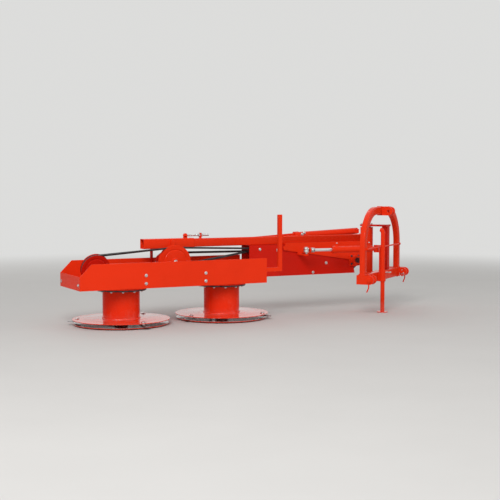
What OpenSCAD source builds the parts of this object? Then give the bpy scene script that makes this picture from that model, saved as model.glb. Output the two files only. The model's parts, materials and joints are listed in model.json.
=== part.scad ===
// Rear-mounted disc mower with two drums, driven by V-belts.
// Millimetres. X runs along the beam towards the hitch, Z is up, Y points to the beam's rear face.
// Inside the modules the outer drum's axis on the ground is the zero point;
// at() then moves every piece so that the origin lies under the middle of the machine.

/* [Cutting heads] */
// Distance between the two drum axes
drum_pitch = 656; // [640:1:720]
// Outer diameter of a drum tube
drum_d = 219; // [180:1:240]
// Wall of a drum tube
drum_wall = 6; // [4:0.5:10]
// Outer diameter of a cutting disc
disc_d = 575; // [540:1:590]
// Thickness of a cutting disc
disc_t = 4; // [3:0.5:6]
// Height of a cutting disc's rim above the ground
disc_z = 34; // [32:1:40]
// Outer diameter of a skid plate
skid_d = 560; // [500:1:580]
// Thickness of a skid plate
skid_t = 5; // [4:0.5:6]
// Rise of a skid plate's rim
skid_rise = 6; // [4:0.5:7]
// Knives on each disc
knife_n = 3; // [2:1:4]
// Radius from the drum axis to a knife's pin
knife_pin_r = 259; // [240:1:262]
// Radius of the circle that the knife tips sweep
knife_tip_r = 320; // [300:1:323]

/* [Head box] */
// Height of the box's lower edge
box_z = 225; // [220:1:240]
// Height of the box's side plates
box_h = 150; // [130:1:170]
// Outer width of the box
box_w = 374; // [360:1:400]
// Thickness of the side plates
plate_t = 4; // [3:0.5:6]
// Thickness of the deck plate
deck_t = 6; // [5:0.5:8]
// Length of the box beyond the outer drum axis
box_out = 312; // [300:1:340]
// Length of the box beyond the inner drum axis
box_in = 219; // [200:1:240]
// Size of the cut corner at the outer end
box_cut = 70; // [50:1:90]

/* [Beam] */
// Side of the inner beam's square tube
beam_w = 50; // [46:1:52]
// Height of the beam's centre line
beam_z = 466; // [464:1:480]
// Distance of the beam behind the drum axes
beam_y = 90; // [88:1:95]
// Side of the outer sleeve tube
sleeve_w = 60; // [59:1:64]
// Outer end of the sleeve
sleeve_x0 = 168; // [110:1:180]
// Inner end of the sleeve
sleeve_x1 = 500; // [480:1:520]
// Distance of the swing pivot from the outer drum axis
pivot_x = 1780; // [1775:1:1800]

/* [Belt drive] */
// Width of a V-belt's back
belt_w = 17; // [13:1:17]
// Depth of a V-belt
belt_h = 11; // [8:1:11]
// Belt radius on the drive pulley
drive_r = 65; // [60:1:68]
// Belt radius on the level pulleys of the drums
level_r = 64; // [58:1:65]
// Belt radius on a tilted guide pulley
guide_r = 78; // [72:1:79]
// Belt radius on the upright guide pulley
front_r = 85; // [80:1:88]
// Tilt of the guide pulleys
guide_tilt = 20; // [15:1:22]
// Rise of the upright guide pulley's flanges beyond the belt line
front_lip = 16; // [9:0.5:17]

/* [Headstock] */
// Turn of the headstock away from the beam
head_turn = 38; // [34:1:40]
// Distance between the lower hitch pins' clevises
hitch_w = 700; // [690:1:720]
// Radius of a lower hitch pin
hitch_pin_r = 11; // [10:0.5:14]
// Height of the lower hitch pins
hitch_z = 230; // [225:1:240]
// Height of the top link pin
top_z = 640; // [620:1:650]
// Side of the cross tube
cross_w = 60; // [56:1:62]
// Radius of the swing pin
kingpin_r = 30; // [26:0.5:32]
// Diameter of the parking stand's tube
stand_d = 27; // [24:0.5:28]
// Length of the parking stand above its foot
stand_h = 505; // [480:1:520]

/* [Hydraulic cylinder] */
// Radius of the barrel
barrel_r = 21; // [18:0.5:22]
// Radius of the rod
rod_r = 10; // [8:0.5:11]
// Length of the barrel
barrel_l = 285; // [270:1:300]

/* [Hidden] */
$fn = 64;

red = "#e5311b";
dark_red = "#b01710";
steel = "#b9bcbf";
black = "#1d1d1f";

run_gap = 0.05;      // a shaft in its bearing
seat = 0.3;          // two pieces that rest on each other without touching
play = 6;            // a turning piece beside a fixed one

// Derived places
box_x0 = -box_out;
box_x1 = drum_pitch + box_in;
box_top = box_z + box_h;
deck_top = box_z + deck_t;
drum_axes = [0, drum_pitch];
drum_z0 = disc_z + disc_t;
drum_z1 = box_z - play;
beam_bottom = beam_z - beam_w / 2;
beam_top = beam_z + beam_w / 2;
beam_near = beam_y - beam_w / 2;
beam_far = beam_y + beam_w / 2;

// Belt planes and pulleys: [x, y, z] of each centre
flange = 9;          // a pulley's flange beyond the belt line
pulley_t = 26;       // width of a single pulley
front_t = 29;        // width of the upright guide pulley
front_edge = 1.5;    // its flanges' thickness at the rim
belt_pitch = 22;     // between the two grooves of the drive pulley
groove_gap = 2;      // between a belt and its groove
drive_c = [pivot_x - 125, 134, 325];
level_z = 270;
outer_c = [-149, 30, 335];
front_c = [355, 29, 357];
rear_c = [344, 108, 331];
inner_c = [1086, 103, 397];
inner_r = 26;        // radius of the flat guide roller

// Headstock places, in its own turned frame: x to the far clevis, y to the rear
hitch_mid = [pivot_x + 9, -152];
pivot_l = [
  (pivot_x - hitch_mid[0]) * cos(head_turn) + (beam_y - hitch_mid[1]) * sin(head_turn),
  -(pivot_x - hitch_mid[0]) * sin(head_turn) + (beam_y - hitch_mid[1]) * cos(head_turn)
];
cross_y = 60;
cross_top = hitch_z + cross_w / 2;
mast_y = 51;
mast_w = 34;         // along the direction of travel
mast_d = 50;         // across it
lug_l = [-20, 75];   // base eye of the cylinder
eye_z = 405;
post_w = 46;
swing_z0 = 216;      // lower plate of the swing bracket
swing_z1 = 545;      // upper plate of the swing bracket
swing_t = 12;
stand_l = [-100, 4];

// Cylinder ends in the beam's frame
base_eye = hitch_mid + [
  lug_l[0] * cos(head_turn) - lug_l[1] * sin(head_turn),
  lug_l[0] * sin(head_turn) + lug_l[1] * cos(head_turn)
];
rod_eye = [1237, -40];
cyl_len = norm(base_eye - rod_eye);
cyl_turn = atan2(rod_eye[1] - base_eye[1], rod_eye[0] - base_eye[0]);
eye_r = 18;

// Middle of the machine's outline, from its outermost pieces
pin_half = 45;
cheek_out = 32;
cheek_r = 29;
mid_x = (box_x0 + hitch_mid[0] + (hitch_w / 2 + pin_half) * cos(head_turn) + hitch_pin_r * sin(head_turn)) / 2;
mid_y = (hitch_mid[1] - (hitch_w / 2 + cheek_out) * sin(head_turn) - cheek_r * cos(head_turn) + 0.97 * knife_tip_r) / 2;

module at() translate([-mid_x, -mid_y, 0]) children();
module at_head() at() translate([hitch_mid[0], hitch_mid[1], 0]) rotate([0, 0, head_turn]) children();
module block(lo, hi) translate(lo) cube(hi - lo);
module along_y(c, y0, y1, r) translate([c[0], y0, c[2]]) rotate([-90, 0, 0]) cylinder(r = r, h = y1 - y0);
module tube(r_out, r_in, h) difference() {
  cylinder(r = r_out, h = h);
  translate([0, 0, -1]) cylinder(r = r_in, h = h + 2);
}
module square_tube(w, wall, l) difference() {
  translate([0, -w / 2, -w / 2]) cube([l, w, w]);
  translate([-1, -w / 2 + wall, -w / 2 + wall]) cube([l + 2, w - 2 * wall, w - 2 * wall]);
}

// V-grooved pulley about Z, one groove for each entry of offsets; mouth is half the groove's width outside
module v_pulley(r, w, offsets, bore, lip = flange, mouth = belt_w / 2 + groove_gap + 1) difference() {
  translate([0, 0, -w / 2]) cylinder(r = r + lip, h = w);
  foot = belt_w / 3 + groove_gap;
  r0 = r - belt_h / 2 - groove_gap;
  r1 = r + max(lip, flange) + 1;
  for (o = offsets) translate([0, 0, o]) rotate_extrude() polygon([[r0, -foot], [r1, -mouth], [r1, mouth], [r0, foot]]);
  translate([0, 0, -w]) cylinder(r = bore, h = 2 * w);
}

// Belt paths: rings of [centre, outward direction]; e1 is X and e2 the pulley's second direction
function unit(v) = v / norm(v);
function tilt_up(t) = [0, -sin(t), cos(t)];
function ring_at(c, r, e2, a) = let (o = cos(a) * [1, 0, 0] + sin(a) * e2) [c + r * o, o];
function wrap(c, r, e2, a0, a1, n) = [for (i = [0:n]) ring_at(c, r, e2, a0 + (a1 - a0) * i / n)];
function mix(u, v, t) = u * (1 - t) + v * t;
function ease(t) = let (u = max(0, min(1, (t - 0.2) / 0.6))) u * u * (3 - 2 * u);
// Straight run between two rings, turning its outward side from one to the other in the middle
function run(a, b, n) = [for (i = [1:n - 1]) let (t = i / n) [mix(a[0], b[0], t), unit(mix(a[1], b[1], ease(t)))]];
function last(l) = l[len(l) - 1];
// One belt section: back at half the depth outwards, narrow face inwards
function section(p, dir, out) = let (
  side = unit(cross(dir, out)),
  up = unit(cross(side, dir))
) [
  p + up * belt_h / 2 - side * belt_w / 2,
  p + up * belt_h / 2 + side * belt_w / 2,
  p - up * belt_h / 2 + side * belt_w / 3,
  p - up * belt_h / 2 - side * belt_w / 3
];
module belt(path) {
  n = len(path);
  points = [for (i = [0:n - 1])
    let (dir = unit(path[(i + 1) % n][0] - path[(i + n - 1) % n][0]))
    each section(path[i][0], dir, path[i][1])];
  faces = [for (i = [0:n - 1], k = [0:3])
    [i * 4 + k, ((i + 1) % n) * 4 + k, ((i + 1) % n) * 4 + (k + 1) % 4, i * 4 + (k + 1) % 4]];
  polyhedron(points, faces, convexity = 6);
}

up_z = [0, 0, 1];
up_y = [0, 1, 0];
function drive_groove(side) = drive_c + [0, side * belt_pitch / 2, 0];

// Headstock
module cross_tube() color(red) at_head() {
  l = hitch_w - 64;
  translate([-l / 2, cross_y, hitch_z]) square_tube(cross_w, 5, l);
  // Bracket for the cylinder's base eye
  difference() {
    union() {
      block([lug_l[0] - 11, cross_y - 25, cross_top], [lug_l[0] + 11, cross_y - 8, eye_z + 24]);
      for (z = [eye_z - 24, eye_z + 14.5]) {
        block([lug_l[0] - 11, cross_y - 10, z], [lug_l[0] + 11, lug_l[1], z + 9.5]);
        translate([lug_l[0], lug_l[1], z]) cylinder(r = 16, h = 9.5);
      }
    }
    translate([lug_l[0], lug_l[1], eye_z - 40]) cylinder(r = 8, h = 80);
  }
}

// Clevis of a lower hitch point: an outer and an inner cheek with a back plate
module clevis(side) at_head() translate([side * hitch_w / 2, 0, hitch_z]) {
  for (y = [-26, 26]) difference() {
    union() {
      translate([y - 6, 0, -29]) cube([12, 84, 58]);
      translate([y - 6, 0, 0]) rotate([0, 90, 0]) cylinder(r = 29, h = 12);
    }
    translate([y - 10, 0, 0]) rotate([0, 90, 0]) cylinder(r = hitch_pin_r + run_gap, h = 20);
  }
  translate([-20.5, 72, -29]) cube([41, 12, 58]);
}
module clevis_near() color(red) clevis(-1);
module clevis_far() color(red) clevis(1);

// Hitch pin with a collar and a bent drop handle
module hitch_pin(side) at_head() translate([side * hitch_w / 2, 0, hitch_z]) {
  rotate([0, 90, 0]) translate([0, 0, -45]) cylinder(r = hitch_pin_r, h = 90);
  translate([side * 36.5, 0, 0]) rotate([0, 90, 0]) translate([0, 0, -4]) cylinder(r = 17, h = 8);
  translate([side * 36.5, 64, -15]) rotate([0, 90, 0])
    rotate([0, 0, -90]) rotate_extrude(angle = 75) translate([60, 0]) circle(r = 4, $fn = 16);
}
module pin_near() color(red) hitch_pin(-1);
module pin_far() color(red) hitch_pin(1);

// Half of the mast: a leg that bends over to the middle
mast_bend = 165;
mast_top = 655;
module mast(side) at_head() {
  mirror([side < 0 ? 1 : 0, 0, 0]) {
    leg_x = hitch_w / 2;
    bend_z = mast_top - mast_bend;
    block([leg_x - mast_d / 2, mast_y - mast_w / 2, hitch_z + 29],
      [leg_x + mast_d / 2, mast_y + mast_w / 2, bend_z]);
    translate([leg_x - mast_bend, mast_y, bend_z]) rotate([90, 0, 0])
      rotate_extrude(angle = 90, $fn = 96) translate([mast_bend - mast_d / 2, -mast_w / 2]) square([mast_d, mast_w]);
    block([29, mast_y - mast_w / 2, mast_top - mast_d / 2], [leg_x - mast_bend, mast_y + mast_w / 2, mast_top + mast_d / 2]);
  }
}
module mast_near() color(red) mast(-1);
module mast_far() color(red) mast(1);

// Two ears for the top link
module top_bracket() color(red) at_head() for (x = [-28.7, 16.7]) difference() {
  union() {
    block([x, mast_y - 60, mast_top - 32], [x + 12, mast_y + mast_w / 2, mast_top + mast_d / 2]);
    translate([x, mast_y - 60, mast_top - 4]) rotate([0, 90, 0]) cylinder(r = 28, h = 12);
  }
  translate([x - 1, mast_y - 60, mast_top - 4]) rotate([0, 90, 0]) cylinder(r = 10, h = 14);
}

// Upright behind the cross tube with the two plates that hold the swing pin
module swing_post() color(dark_red) at_head() {
  block([pivot_l[0] - post_w / 2, cross_y - 18, cross_top], [pivot_l[0] + post_w / 2, cross_y + 22, swing_z1]);
  for (z = [swing_z0 - 14, swing_z1]) difference() {
    union() {
      block([pivot_l[0] - 45, cross_y + (z < cross_top ? cross_w / 2 : -18), z],
        [pivot_l[0] + 45, pivot_l[1], z + swing_t]);
      translate([pivot_l[0], pivot_l[1], z]) cylinder(r = 45, h = swing_t);
    }
    translate([pivot_l[0], pivot_l[1], z - 1]) cylinder(r = kingpin_r + run_gap, h = swing_t + 2);
  }
}
module kingpin() color(steel) at() translate([pivot_x, beam_y, 0]) {
  translate([0, 0, swing_z0 - 30]) cylinder(r = kingpin_r, h = swing_z1 - swing_z0 + 50);
  translate([0, 0, swing_z1 + swing_t]) tube(kingpin_r + 9, kingpin_r - 1, 8);
}

module stand_sleeve() color(red) at_head() translate([stand_l[0], stand_l[1], hitch_z - 30]) {
  tube(20, stand_d / 2 + 0.4, 75);
  block([-12, stand_d / 2 + 1.5, 0], [12, cross_y - cross_w / 2 - stand_l[1], 55]);
}
// Round bar across the mast, on a pad at each leg
rod_z = 420;
module mast_rod() color(red) at_head() {
  y = mast_y - mast_w / 2;
  translate([-hitch_w / 2, y - 6, rod_z]) rotate([0, 90, 0]) cylinder(r = 5, h = hitch_w);
  for (side = [-1, 1]) block([side * hitch_w / 2 - 8, y - 6, rod_z - 6], [side * hitch_w / 2 + 8, y, rod_z + 6]);
}

// Parking stand: tube, round foot and bent top
module stand() color(red) at_head() translate([stand_l[0], stand_l[1], 0]) {
  cylinder(r = 35, h = 6);
  translate([0, 0, 6]) cylinder(r = stand_d / 2, h = stand_h);
  translate([0, 25, stand_h + 6]) rotate([0, -90, 0]) rotate([0, 0, -90])
    rotate_extrude(angle = 70) translate([25, 0]) circle(r = stand_d / 2, $fn = 32);
}

// Beam
boss_r = 42;         // tube round the swing pin
module beam() color(red) at() {
  translate([sleeve_x0 + 30, beam_y, beam_z]) square_tube(beam_w, 5, pivot_x - 36 - sleeve_x0 - 30);
  translate([pivot_x, beam_y, swing_z0 + play]) tube(boss_r, kingpin_r + run_gap, swing_z1 - swing_z0 - 2 * play);
}
module beam_sleeve() color(red) at() translate([sleeve_x0, beam_y, beam_z])
  square_tube(sleeve_w, (sleeve_w - beam_w) / 2 - seat, sleeve_x1 - sleeve_x0);

// Screw that sets the sleeve along the beam: eye on the sleeve, tab on the beam, threaded rod
adj_z = 512;
module screw_adjuster() at() {
  color(red) {
    block([440, beam_y - 6, beam_z + sleeve_w / 2], [464, beam_y + 6, adj_z]);
    translate([452, beam_y + 6, adj_z]) rotate([90, 0, 0]) cylinder(r = 13, h = 12);
    block([550, beam_y - 12, beam_top], [558, beam_y + 12, adj_z + 14]);
  }
  color(steel) translate([450, beam_y, adj_z]) rotate([0, 90, 0]) cylinder(r = 6, h = 160);
  color(steel) for (x = [541, 558]) translate([x, beam_y, adj_z]) rotate([0, 90, 0]) cylinder(r = 10, h = 9, $fn = 6);
}

// Sloping stay behind the beam: flat bar, clamp and tube
stay_y = beam_far + 26;
stay_a = [865, 468];
stay_b = [1270, 492];
stay_c = [1735, 512];
function stay_at(p, q) = atan2(q[1] - p[1], q[0] - p[0]);
module stay() color(red) at() {
  translate([stay_a[0], stay_y, stay_a[1]]) rotate([0, -stay_at(stay_a, stay_b), 0])
    translate([0, -8, -16]) cube([norm(stay_b - stay_a) + 30, 16, 32]);
  block([stay_a[0], beam_far, stay_a[1] - 14], [stay_a[0] + 60, stay_y - 7, stay_a[1] + 14]);
}
module stay_clamp() color(red) at() {
  difference() {
    union() {
      translate([stay_b[0], stay_y, stay_b[1]]) rotate([0, 90 - stay_at(stay_b, stay_c), 0])
        cylinder(r = 21, h = norm(stay_c - stay_b));
      translate([stay_b[0], stay_y, stay_b[1]]) rotate([0, 90 - stay_at(stay_b, stay_c), 0])
        translate([0, 0, -22]) cylinder(r = 25, h = 30);
    }
    translate([pivot_x, beam_y, 0]) cylinder(r = boss_r, h = 700);
    translate([stay_a[0], stay_y, stay_a[1]]) rotate([0, -stay_at(stay_a, stay_b), 0])
      translate([0, -8 - seat, -16 - seat]) cube([norm(stay_b - stay_a) + 40, 16 + 2 * seat, 32 + 2 * seat]);
  }
  block([pivot_x - 75, beam_far, stay_c[1] - 16], [pivot_x - 45, stay_y - 10, stay_c[1] + 10]);
}

// Guard plates round the belts' upper runs, and the tapered plate in front of them
guard_x1 = 1625;
guard_y0 = 51;
guard_y1 = 163;
gusset_t = 7;
gusset_x0 = 1130;
gusset_y = guard_y0 - 1 - gusset_t;
ear_z = eye_z - 34;
module gusset() color(red) at() {
  difference() {
    union() {
      translate([0, gusset_y + gusset_t, 0]) rotate([90, 0, 0]) linear_extrude(gusset_t) polygon([
        [gusset_x0, beam_bottom + 8], [gusset_x0, 402], [drive_c[0] - 44, 330], [drive_c[0] - 34, 285],
        [drive_c[0] + 34, 285], [pivot_x - boss_r - 2, 300], [pivot_x - boss_r - 2, beam_bottom + 8]
      ]);
      along_y([gusset_x0, 0, beam_bottom - 23], gusset_y - 6, gusset_y + 1, 16);
      block([gusset_x0, gusset_y, beam_bottom], [pivot_x - boss_r - 2, beam_near, beam_bottom + 8]);
      // Ear under the rod's eye
      block([rod_eye[0] - 16, gusset_y, ear_z], [rod_eye[0] + 16, gusset_y + gusset_t, 402]);
      block([rod_eye[0] - 16, rod_eye[1], ear_z], [rod_eye[0] + 16, gusset_y, ear_z + 8]);
      translate([rod_eye[0], rod_eye[1], ear_z]) cylinder(r = 16, h = 8);
    }
    along_y(drive_c, gusset_y - 1, gusset_y + gusset_t + 1, 30 + run_gap);
  }
}

guard_z0 = 238;
guard_t = 3;
module guard_side() rotate([90, 0, 0]) linear_extrude(guard_t)
  polygon([[box_x1 + 1, guard_z0], [guard_x1 + 22, guard_z0], [guard_x1 - 12, beam_bottom - seat], [box_x1 + 1, beam_bottom - seat]]);
module belt_guard() color(dark_red) at() {
  difference() {
    union() {
      translate([0, guard_y0 + guard_t, 0]) guard_side();
      translate([0, guard_y1, 0]) guard_side();
      block([box_x1 + 1, guard_y0, beam_bottom - seat - guard_t], [guard_x1 - 12, guard_y1, beam_bottom - seat]);
    }
    along_y(drive_c, guard_y0 - 1, guard_y1 + 1, drive_r + flange + 8);
  }
}

module bearing_housing() color(red) at() difference() {
  union() {
    along_y(drive_c, 10, 70, 30);
    along_y(drive_c, gusset_y - 6, gusset_y, 44);
  }
  along_y(drive_c, 0, 90, 15 + run_gap);
}
module drive_shaft() color(steel) at() {
  along_y(drive_c, -50, guard_y1 - 8, 15);
  for (a = [0:60:300]) translate([drive_c[0], 0, drive_c[2]]) rotate([0, a, 0]) block([13, -48, -3], [17.4, 0, 3]);
}
module drive_pulley() color(black) at() translate(drive_c) rotate([-90, 0, 0])
  v_pulley(drive_r, 50, [-belt_pitch / 2, belt_pitch / 2], 15);

// Hydraulic cylinder, drawn along X from the base eye and turned towards the rod's eye
module at_cylinder() at() translate([base_eye[0], base_eye[1], eye_z]) rotate([0, 0, cyl_turn]) children();
module cylinder_barrel() color(red) at_cylinder() difference() {
  union() {
    translate([0, 0, -14]) cylinder(r = eye_r, h = 28);
    translate([10, 0, 0]) rotate([0, 90, 0]) cylinder(r = 13, h = 30);
    translate([30, 0, 0]) rotate([0, 90, 0]) cylinder(r = barrel_r, h = barrel_l);
    translate([barrel_l + 4, 0, 0]) rotate([0, 90, 0]) cylinder(r = barrel_r + 3, h = 26);
    for (x = [52, barrel_l - 4]) translate([x, 0, 0]) cylinder(r = 9, h = 32);
  }
  translate([0, 0, -20]) cylinder(r = 8 + run_gap, h = 40);
  translate([26, 0, 0]) rotate([0, 90, 0]) cylinder(r = rod_r + run_gap, h = barrel_l + 40);
}
rod_in = 145;        // inner end of the rod, as far in as the stroke lets it
module cylinder_rod() color(steel) at_cylinder() {
  translate([rod_in, 0, 0]) rotate([0, 90, 0]) cylinder(r = rod_r, h = cyl_len - rod_in - 10);
  translate([cyl_len - 40, 0, 0]) rotate([0, 90, 0]) cylinder(r = 14, h = 26);
  translate([cyl_len, 0, -14]) cylinder(r = eye_r, h = 28);
  translate([cyl_len, 0, -24]) cylinder(r = 9, h = 44);
}

// Head box
module box_side(y) at() translate([0, y + plate_t, 0]) rotate([90, 0, 0]) linear_extrude(plate_t) polygon([
  [box_x0, box_z], [box_x1, box_z], [box_x1, box_top], [box_x0 + box_cut, box_top], [box_x0, box_top - box_cut]
]);
module side_plate_near() color(red) box_side(-box_w / 2);
module side_plate_far() color(red) box_side(box_w / 2 - plate_t);

inner_w = box_w / 2 - plate_t;
module deck() color(dark_red) at() difference() {
  block([box_x0 + plate_t, -inner_w, box_z], [box_x1 - 10, inner_w, deck_top]);
  for (x = drum_axes) translate([x, 0, box_z - 1]) cylinder(r = 45 + run_gap, h = deck_t + 2);
}
module end_plate() color(red) at() block([box_x0, -inner_w, box_z], [box_x0 + plate_t, inner_w, box_z + 80]);

// Cross members between the side plates and the two straps that carry the sleeve
cross_x = [86, 465];
strap_x = [262, 456];
strap_y = 163;
module cradle() color(dark_red) at() {
  for (x = cross_x) {
    block([x - 4, -inner_w, deck_top], [x + 4, inner_w, deck_top + 14]);
    for (y = [-inner_w, inner_w - 30]) block([x - 4, y, deck_top + 14], [x + 4, y + 30, box_z + 90]);
  }
  for (x = strap_x) {
    block([x - 6, strap_y, deck_top], [x + 6, inner_w, beam_z + 20]);
    block([x - 6, beam_y + sleeve_w / 2, beam_z - 26], [x + 6, strap_y + 1, beam_z + 20]);
  }
}

// Bearing housings of the two drum shafts, each with the ring under the deck
module spindle_housings() color(red) at() for (x = drum_axes) translate([x, 0, 0]) {
  difference() {
    union() {
      translate([0, 0, box_z - 18]) cylinder(r = 45, h = 42);
      translate([0, 0, deck_top]) cylinder(r = 62, h = 8);
    }
    translate([0, 0, box_z - 20]) cylinder(r = 17.5 + run_gap, h = 60);
  }
  translate([0, 0, box_z - 12]) difference() {
    tube(150, 118, 12);
    for (a = [0:30:330]) rotate([0, 0, a]) translate([150, 0, -1]) cylinder(r = 9, h = 6);
  }
}

// Post for the curtain: an arm out of the box and an upright, both of one square bar
curtain_w = 25;
curtain_x1 = box_x1 + 110;
curtain_z = [box_z + 65, 640];
module curtain_post() color(red) at() {
  y = -inner_w;
  block([box_x1 - 30, y, curtain_z[0]], [curtain_x1, y + curtain_w, curtain_z[0] + curtain_w]);
  block([curtain_x1 - curtain_w, y, curtain_z[0]], [curtain_x1, y + curtain_w, curtain_z[1]]);
}

// Guide pulleys
module guide_outer() color(dark_red) at() translate(outer_c) rotate([90 + guide_tilt, 0, 0]) v_pulley(guide_r, pulley_t, [0], 10);
module guide_rear() color(dark_red) at() translate(rear_c) rotate([90 - guide_tilt, 0, 0]) v_pulley(guide_r, pulley_t, [0], 10);
module guide_front() color(red) at() translate(front_c) rotate([90, 0, 0])
  v_pulley(front_r, front_t, [0], 10, front_lip, front_t / 2 - front_edge);
module guide_inner() color(black) at() translate(inner_c) rotate([90, 0, 0]) translate([0, 0, -10]) tube(inner_r, 8, 20);

// Axles of the guide pulleys with the post and the hanger that carry two of them
hanger_y = beam_y - sleeve_w / 2 - 12;
post_y = 82;
module guide_axles() color(steel) at() intersection() {
  union() {
    translate(outer_c) rotate([90 + guide_tilt, 0, 0]) translate([0, 0, -62]) cylinder(r = 10 - run_gap, h = 80);
    block([outer_c[0] - 16, post_y, deck_top], [outer_c[0] + 16, post_y + 10, outer_c[2] + 36]);
    translate(rear_c) rotate([90 - guide_tilt, 0, 0]) translate([0, 0, -100]) cylinder(r = 10 - run_gap, h = 116);
    along_y(front_c, front_c[1] - 15, hanger_y + 6, 10 - run_gap);
    block([front_c[0] - 13, hanger_y, front_c[2] - 17], [front_c[0] + 13, hanger_y + 11.7, beam_z + 22]);
    along_y(inner_c, guard_y0 + guard_t, inner_c[1] + 14, 8 - run_gap);
  }
  block([box_x0, -inner_w, box_z], [guard_x1, inner_w, beam_top]);
}

// Belt of the outer drum: drive, upright guide, outer guide, back of the level pulley, flat roller
belt_outer_wraps = [
  wrap(drive_groove(-1), drive_r, up_z, -108, 88, 10),
  wrap(front_c, front_r, up_z, 89, 99, 2),
  wrap(outer_c, guide_r, tilt_up(guide_tilt), 100, 265, 10),
  wrap([0, 0, level_z], level_r, up_y, 110, 72, 4),
  [for (a = [101, 86, 72]) let (r = ring_at(inner_c, inner_r + belt_h / 2 + 0.6, up_z, a)) [r[0], -r[1]]]
];
// Belt of the inner drum: drive, rear guide, back of the level pulley
belt_inner_wraps = [
  wrap(drive_groove(1), drive_r, up_z, -91, 90, 10),
  wrap(rear_c, guide_r, tilt_up(-guide_tilt), 92, 265, 10),
  wrap([drum_pitch, 0, level_z], level_r, up_y, 108, 76, 4)
];
function closed(wraps) = [for (i = [0:len(wraps) - 1])
  each concat(wraps[i], run(last(wraps[i]), wraps[(i + 1) % len(wraps)][0], 8))];
module belt_outer() color(black) at() belt(closed(belt_outer_wraps));
module belt_inner() color(black) at() belt(closed(belt_inner_wraps));

// Drum with its shaft, level pulley and top and bottom plates
module drum(x) at() translate([x, 0, 0]) {
  color(red) translate([0, 0, drum_z0]) tube(drum_d / 2, drum_d / 2 - drum_wall, drum_z1 - drum_z0);
  color(red) translate([0, 0, drum_z0]) cylinder(r = drum_d / 2, h = 8);
  color(red) translate([0, 0, drum_z0 + 60]) cylinder(r = drum_d / 2 - drum_wall / 2, h = 8);
  color(steel) translate([0, 0, skid_t + 3]) cylinder(r = 17.5, h = level_z + 17 - skid_t);
  color(black) translate([0, 0, level_z]) v_pulley(level_r, pulley_t, [0], 17, 6.5);
}
module drum_outer() drum(drum_axes[0]);
module drum_inner() drum(drum_axes[1]);

// Cutting disc: flat rim with a pressed step inside it
module cutting_disc(x) color(red) at() translate([x, 0, disc_z]) rotate_extrude($fn = 128) polygon([
  [18, 0], [205, 0], [222, -2], [disc_d / 2, -2], [disc_d / 2, disc_t - 2], [223, disc_t - 2],
  [206, disc_t], [18, disc_t]
]);
module disc_outer() cutting_disc(drum_axes[0]);
module disc_inner() cutting_disc(drum_axes[1]);

// Knives with their bolts through the disc's rim
knife_z = 19;
module knives(x, turn) at() translate([x, 0, 0]) for (k = [0:knife_n - 1]) rotate([0, 0, turn + k * 360 / knife_n]) {
  color(steel) translate([0, 0, knife_z]) linear_extrude(4) polygon([
    [knife_pin_r - 20, -16], [knife_pin_r + 18, -20], [knife_tip_r - 8, -20],
    [knife_tip_r - 6, 8], [knife_pin_r + 18, 20], [knife_pin_r - 20, 16]
  ]);
  color(steel) translate([knife_pin_r, 0, knife_z - 2]) cylinder(r = 9, h = disc_z - 2 - knife_z + 2);
  color(steel) translate([knife_pin_r, 0, disc_z - 2 + disc_t]) cylinder(r = 12, h = 8, $fn = 6);
}
module knives_outer() knives(drum_axes[0], 159);
module knives_inner() knives(drum_axes[1], 200);

// Skid plate: shallow dish under the disc, with the hub that turns on the drum's shaft
hub_z = 27;
module skid_plate(x) color(red) at() translate([x, 0, 0]) rotate_extrude($fn = 128) polygon([
  [0, 0], [170, 0], [skid_d / 2 - 8, skid_rise], [skid_d / 2, skid_rise + 1],
  [skid_d / 2, skid_rise + skid_t], [skid_d / 2 - 8, skid_rise + skid_t], [170, skid_t],
  [40, skid_t], [40, hub_z], [17.5 + run_gap, hub_z], [17.5 + run_gap, skid_t], [0, skid_t]
]);
module skid_outer() skid_plate(drum_axes[0]);
module skid_inner() skid_plate(drum_axes[1]);

cross_tube();
clevis_near();
clevis_far();
pin_near();
pin_far();
mast_near();
mast_far();
top_bracket();
swing_post();
kingpin();
stand_sleeve();
mast_rod();
stand();
beam();
beam_sleeve();
screw_adjuster();
stay();
stay_clamp();
gusset();
belt_guard();
bearing_housing();
drive_shaft();
drive_pulley();
cylinder_barrel();
cylinder_rod();
side_plate_near();
side_plate_far();
deck();
end_plate();
cradle();
spindle_housings();
curtain_post();
guide_outer();
guide_front();
guide_rear();
guide_inner();
guide_axles();
belt_outer();
belt_inner();
drum_outer();
disc_outer();
knives_outer();
skid_outer();
drum_inner();
disc_inner();
knives_inner();
skid_inner();
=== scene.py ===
"""Looks of a disc mower with two drums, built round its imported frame."""
import json
import math

import bmesh
import bpy
from bpy.props import FloatProperty, FloatVectorProperty, IntProperty, PointerProperty
from mathutils import Matrix, Vector


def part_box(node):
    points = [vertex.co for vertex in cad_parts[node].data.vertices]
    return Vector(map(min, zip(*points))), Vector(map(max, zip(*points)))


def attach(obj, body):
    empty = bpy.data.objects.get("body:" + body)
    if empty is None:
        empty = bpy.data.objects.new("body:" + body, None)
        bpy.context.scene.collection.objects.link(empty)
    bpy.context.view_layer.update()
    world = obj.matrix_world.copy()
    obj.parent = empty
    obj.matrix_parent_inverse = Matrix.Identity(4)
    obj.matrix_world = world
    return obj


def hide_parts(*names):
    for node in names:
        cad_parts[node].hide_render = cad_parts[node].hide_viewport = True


bl_info = {
    "name": "Disc mower with two drums",
    "version": (1, 0, 0),
    "blender": (4, 5, 0),
    "location": "View3D > Sidebar > Mower",
    "description": "Paint, pulleys, belts, knives, welds and fasteners of a belt-driven mower",
    "category": "Object",
}

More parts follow.
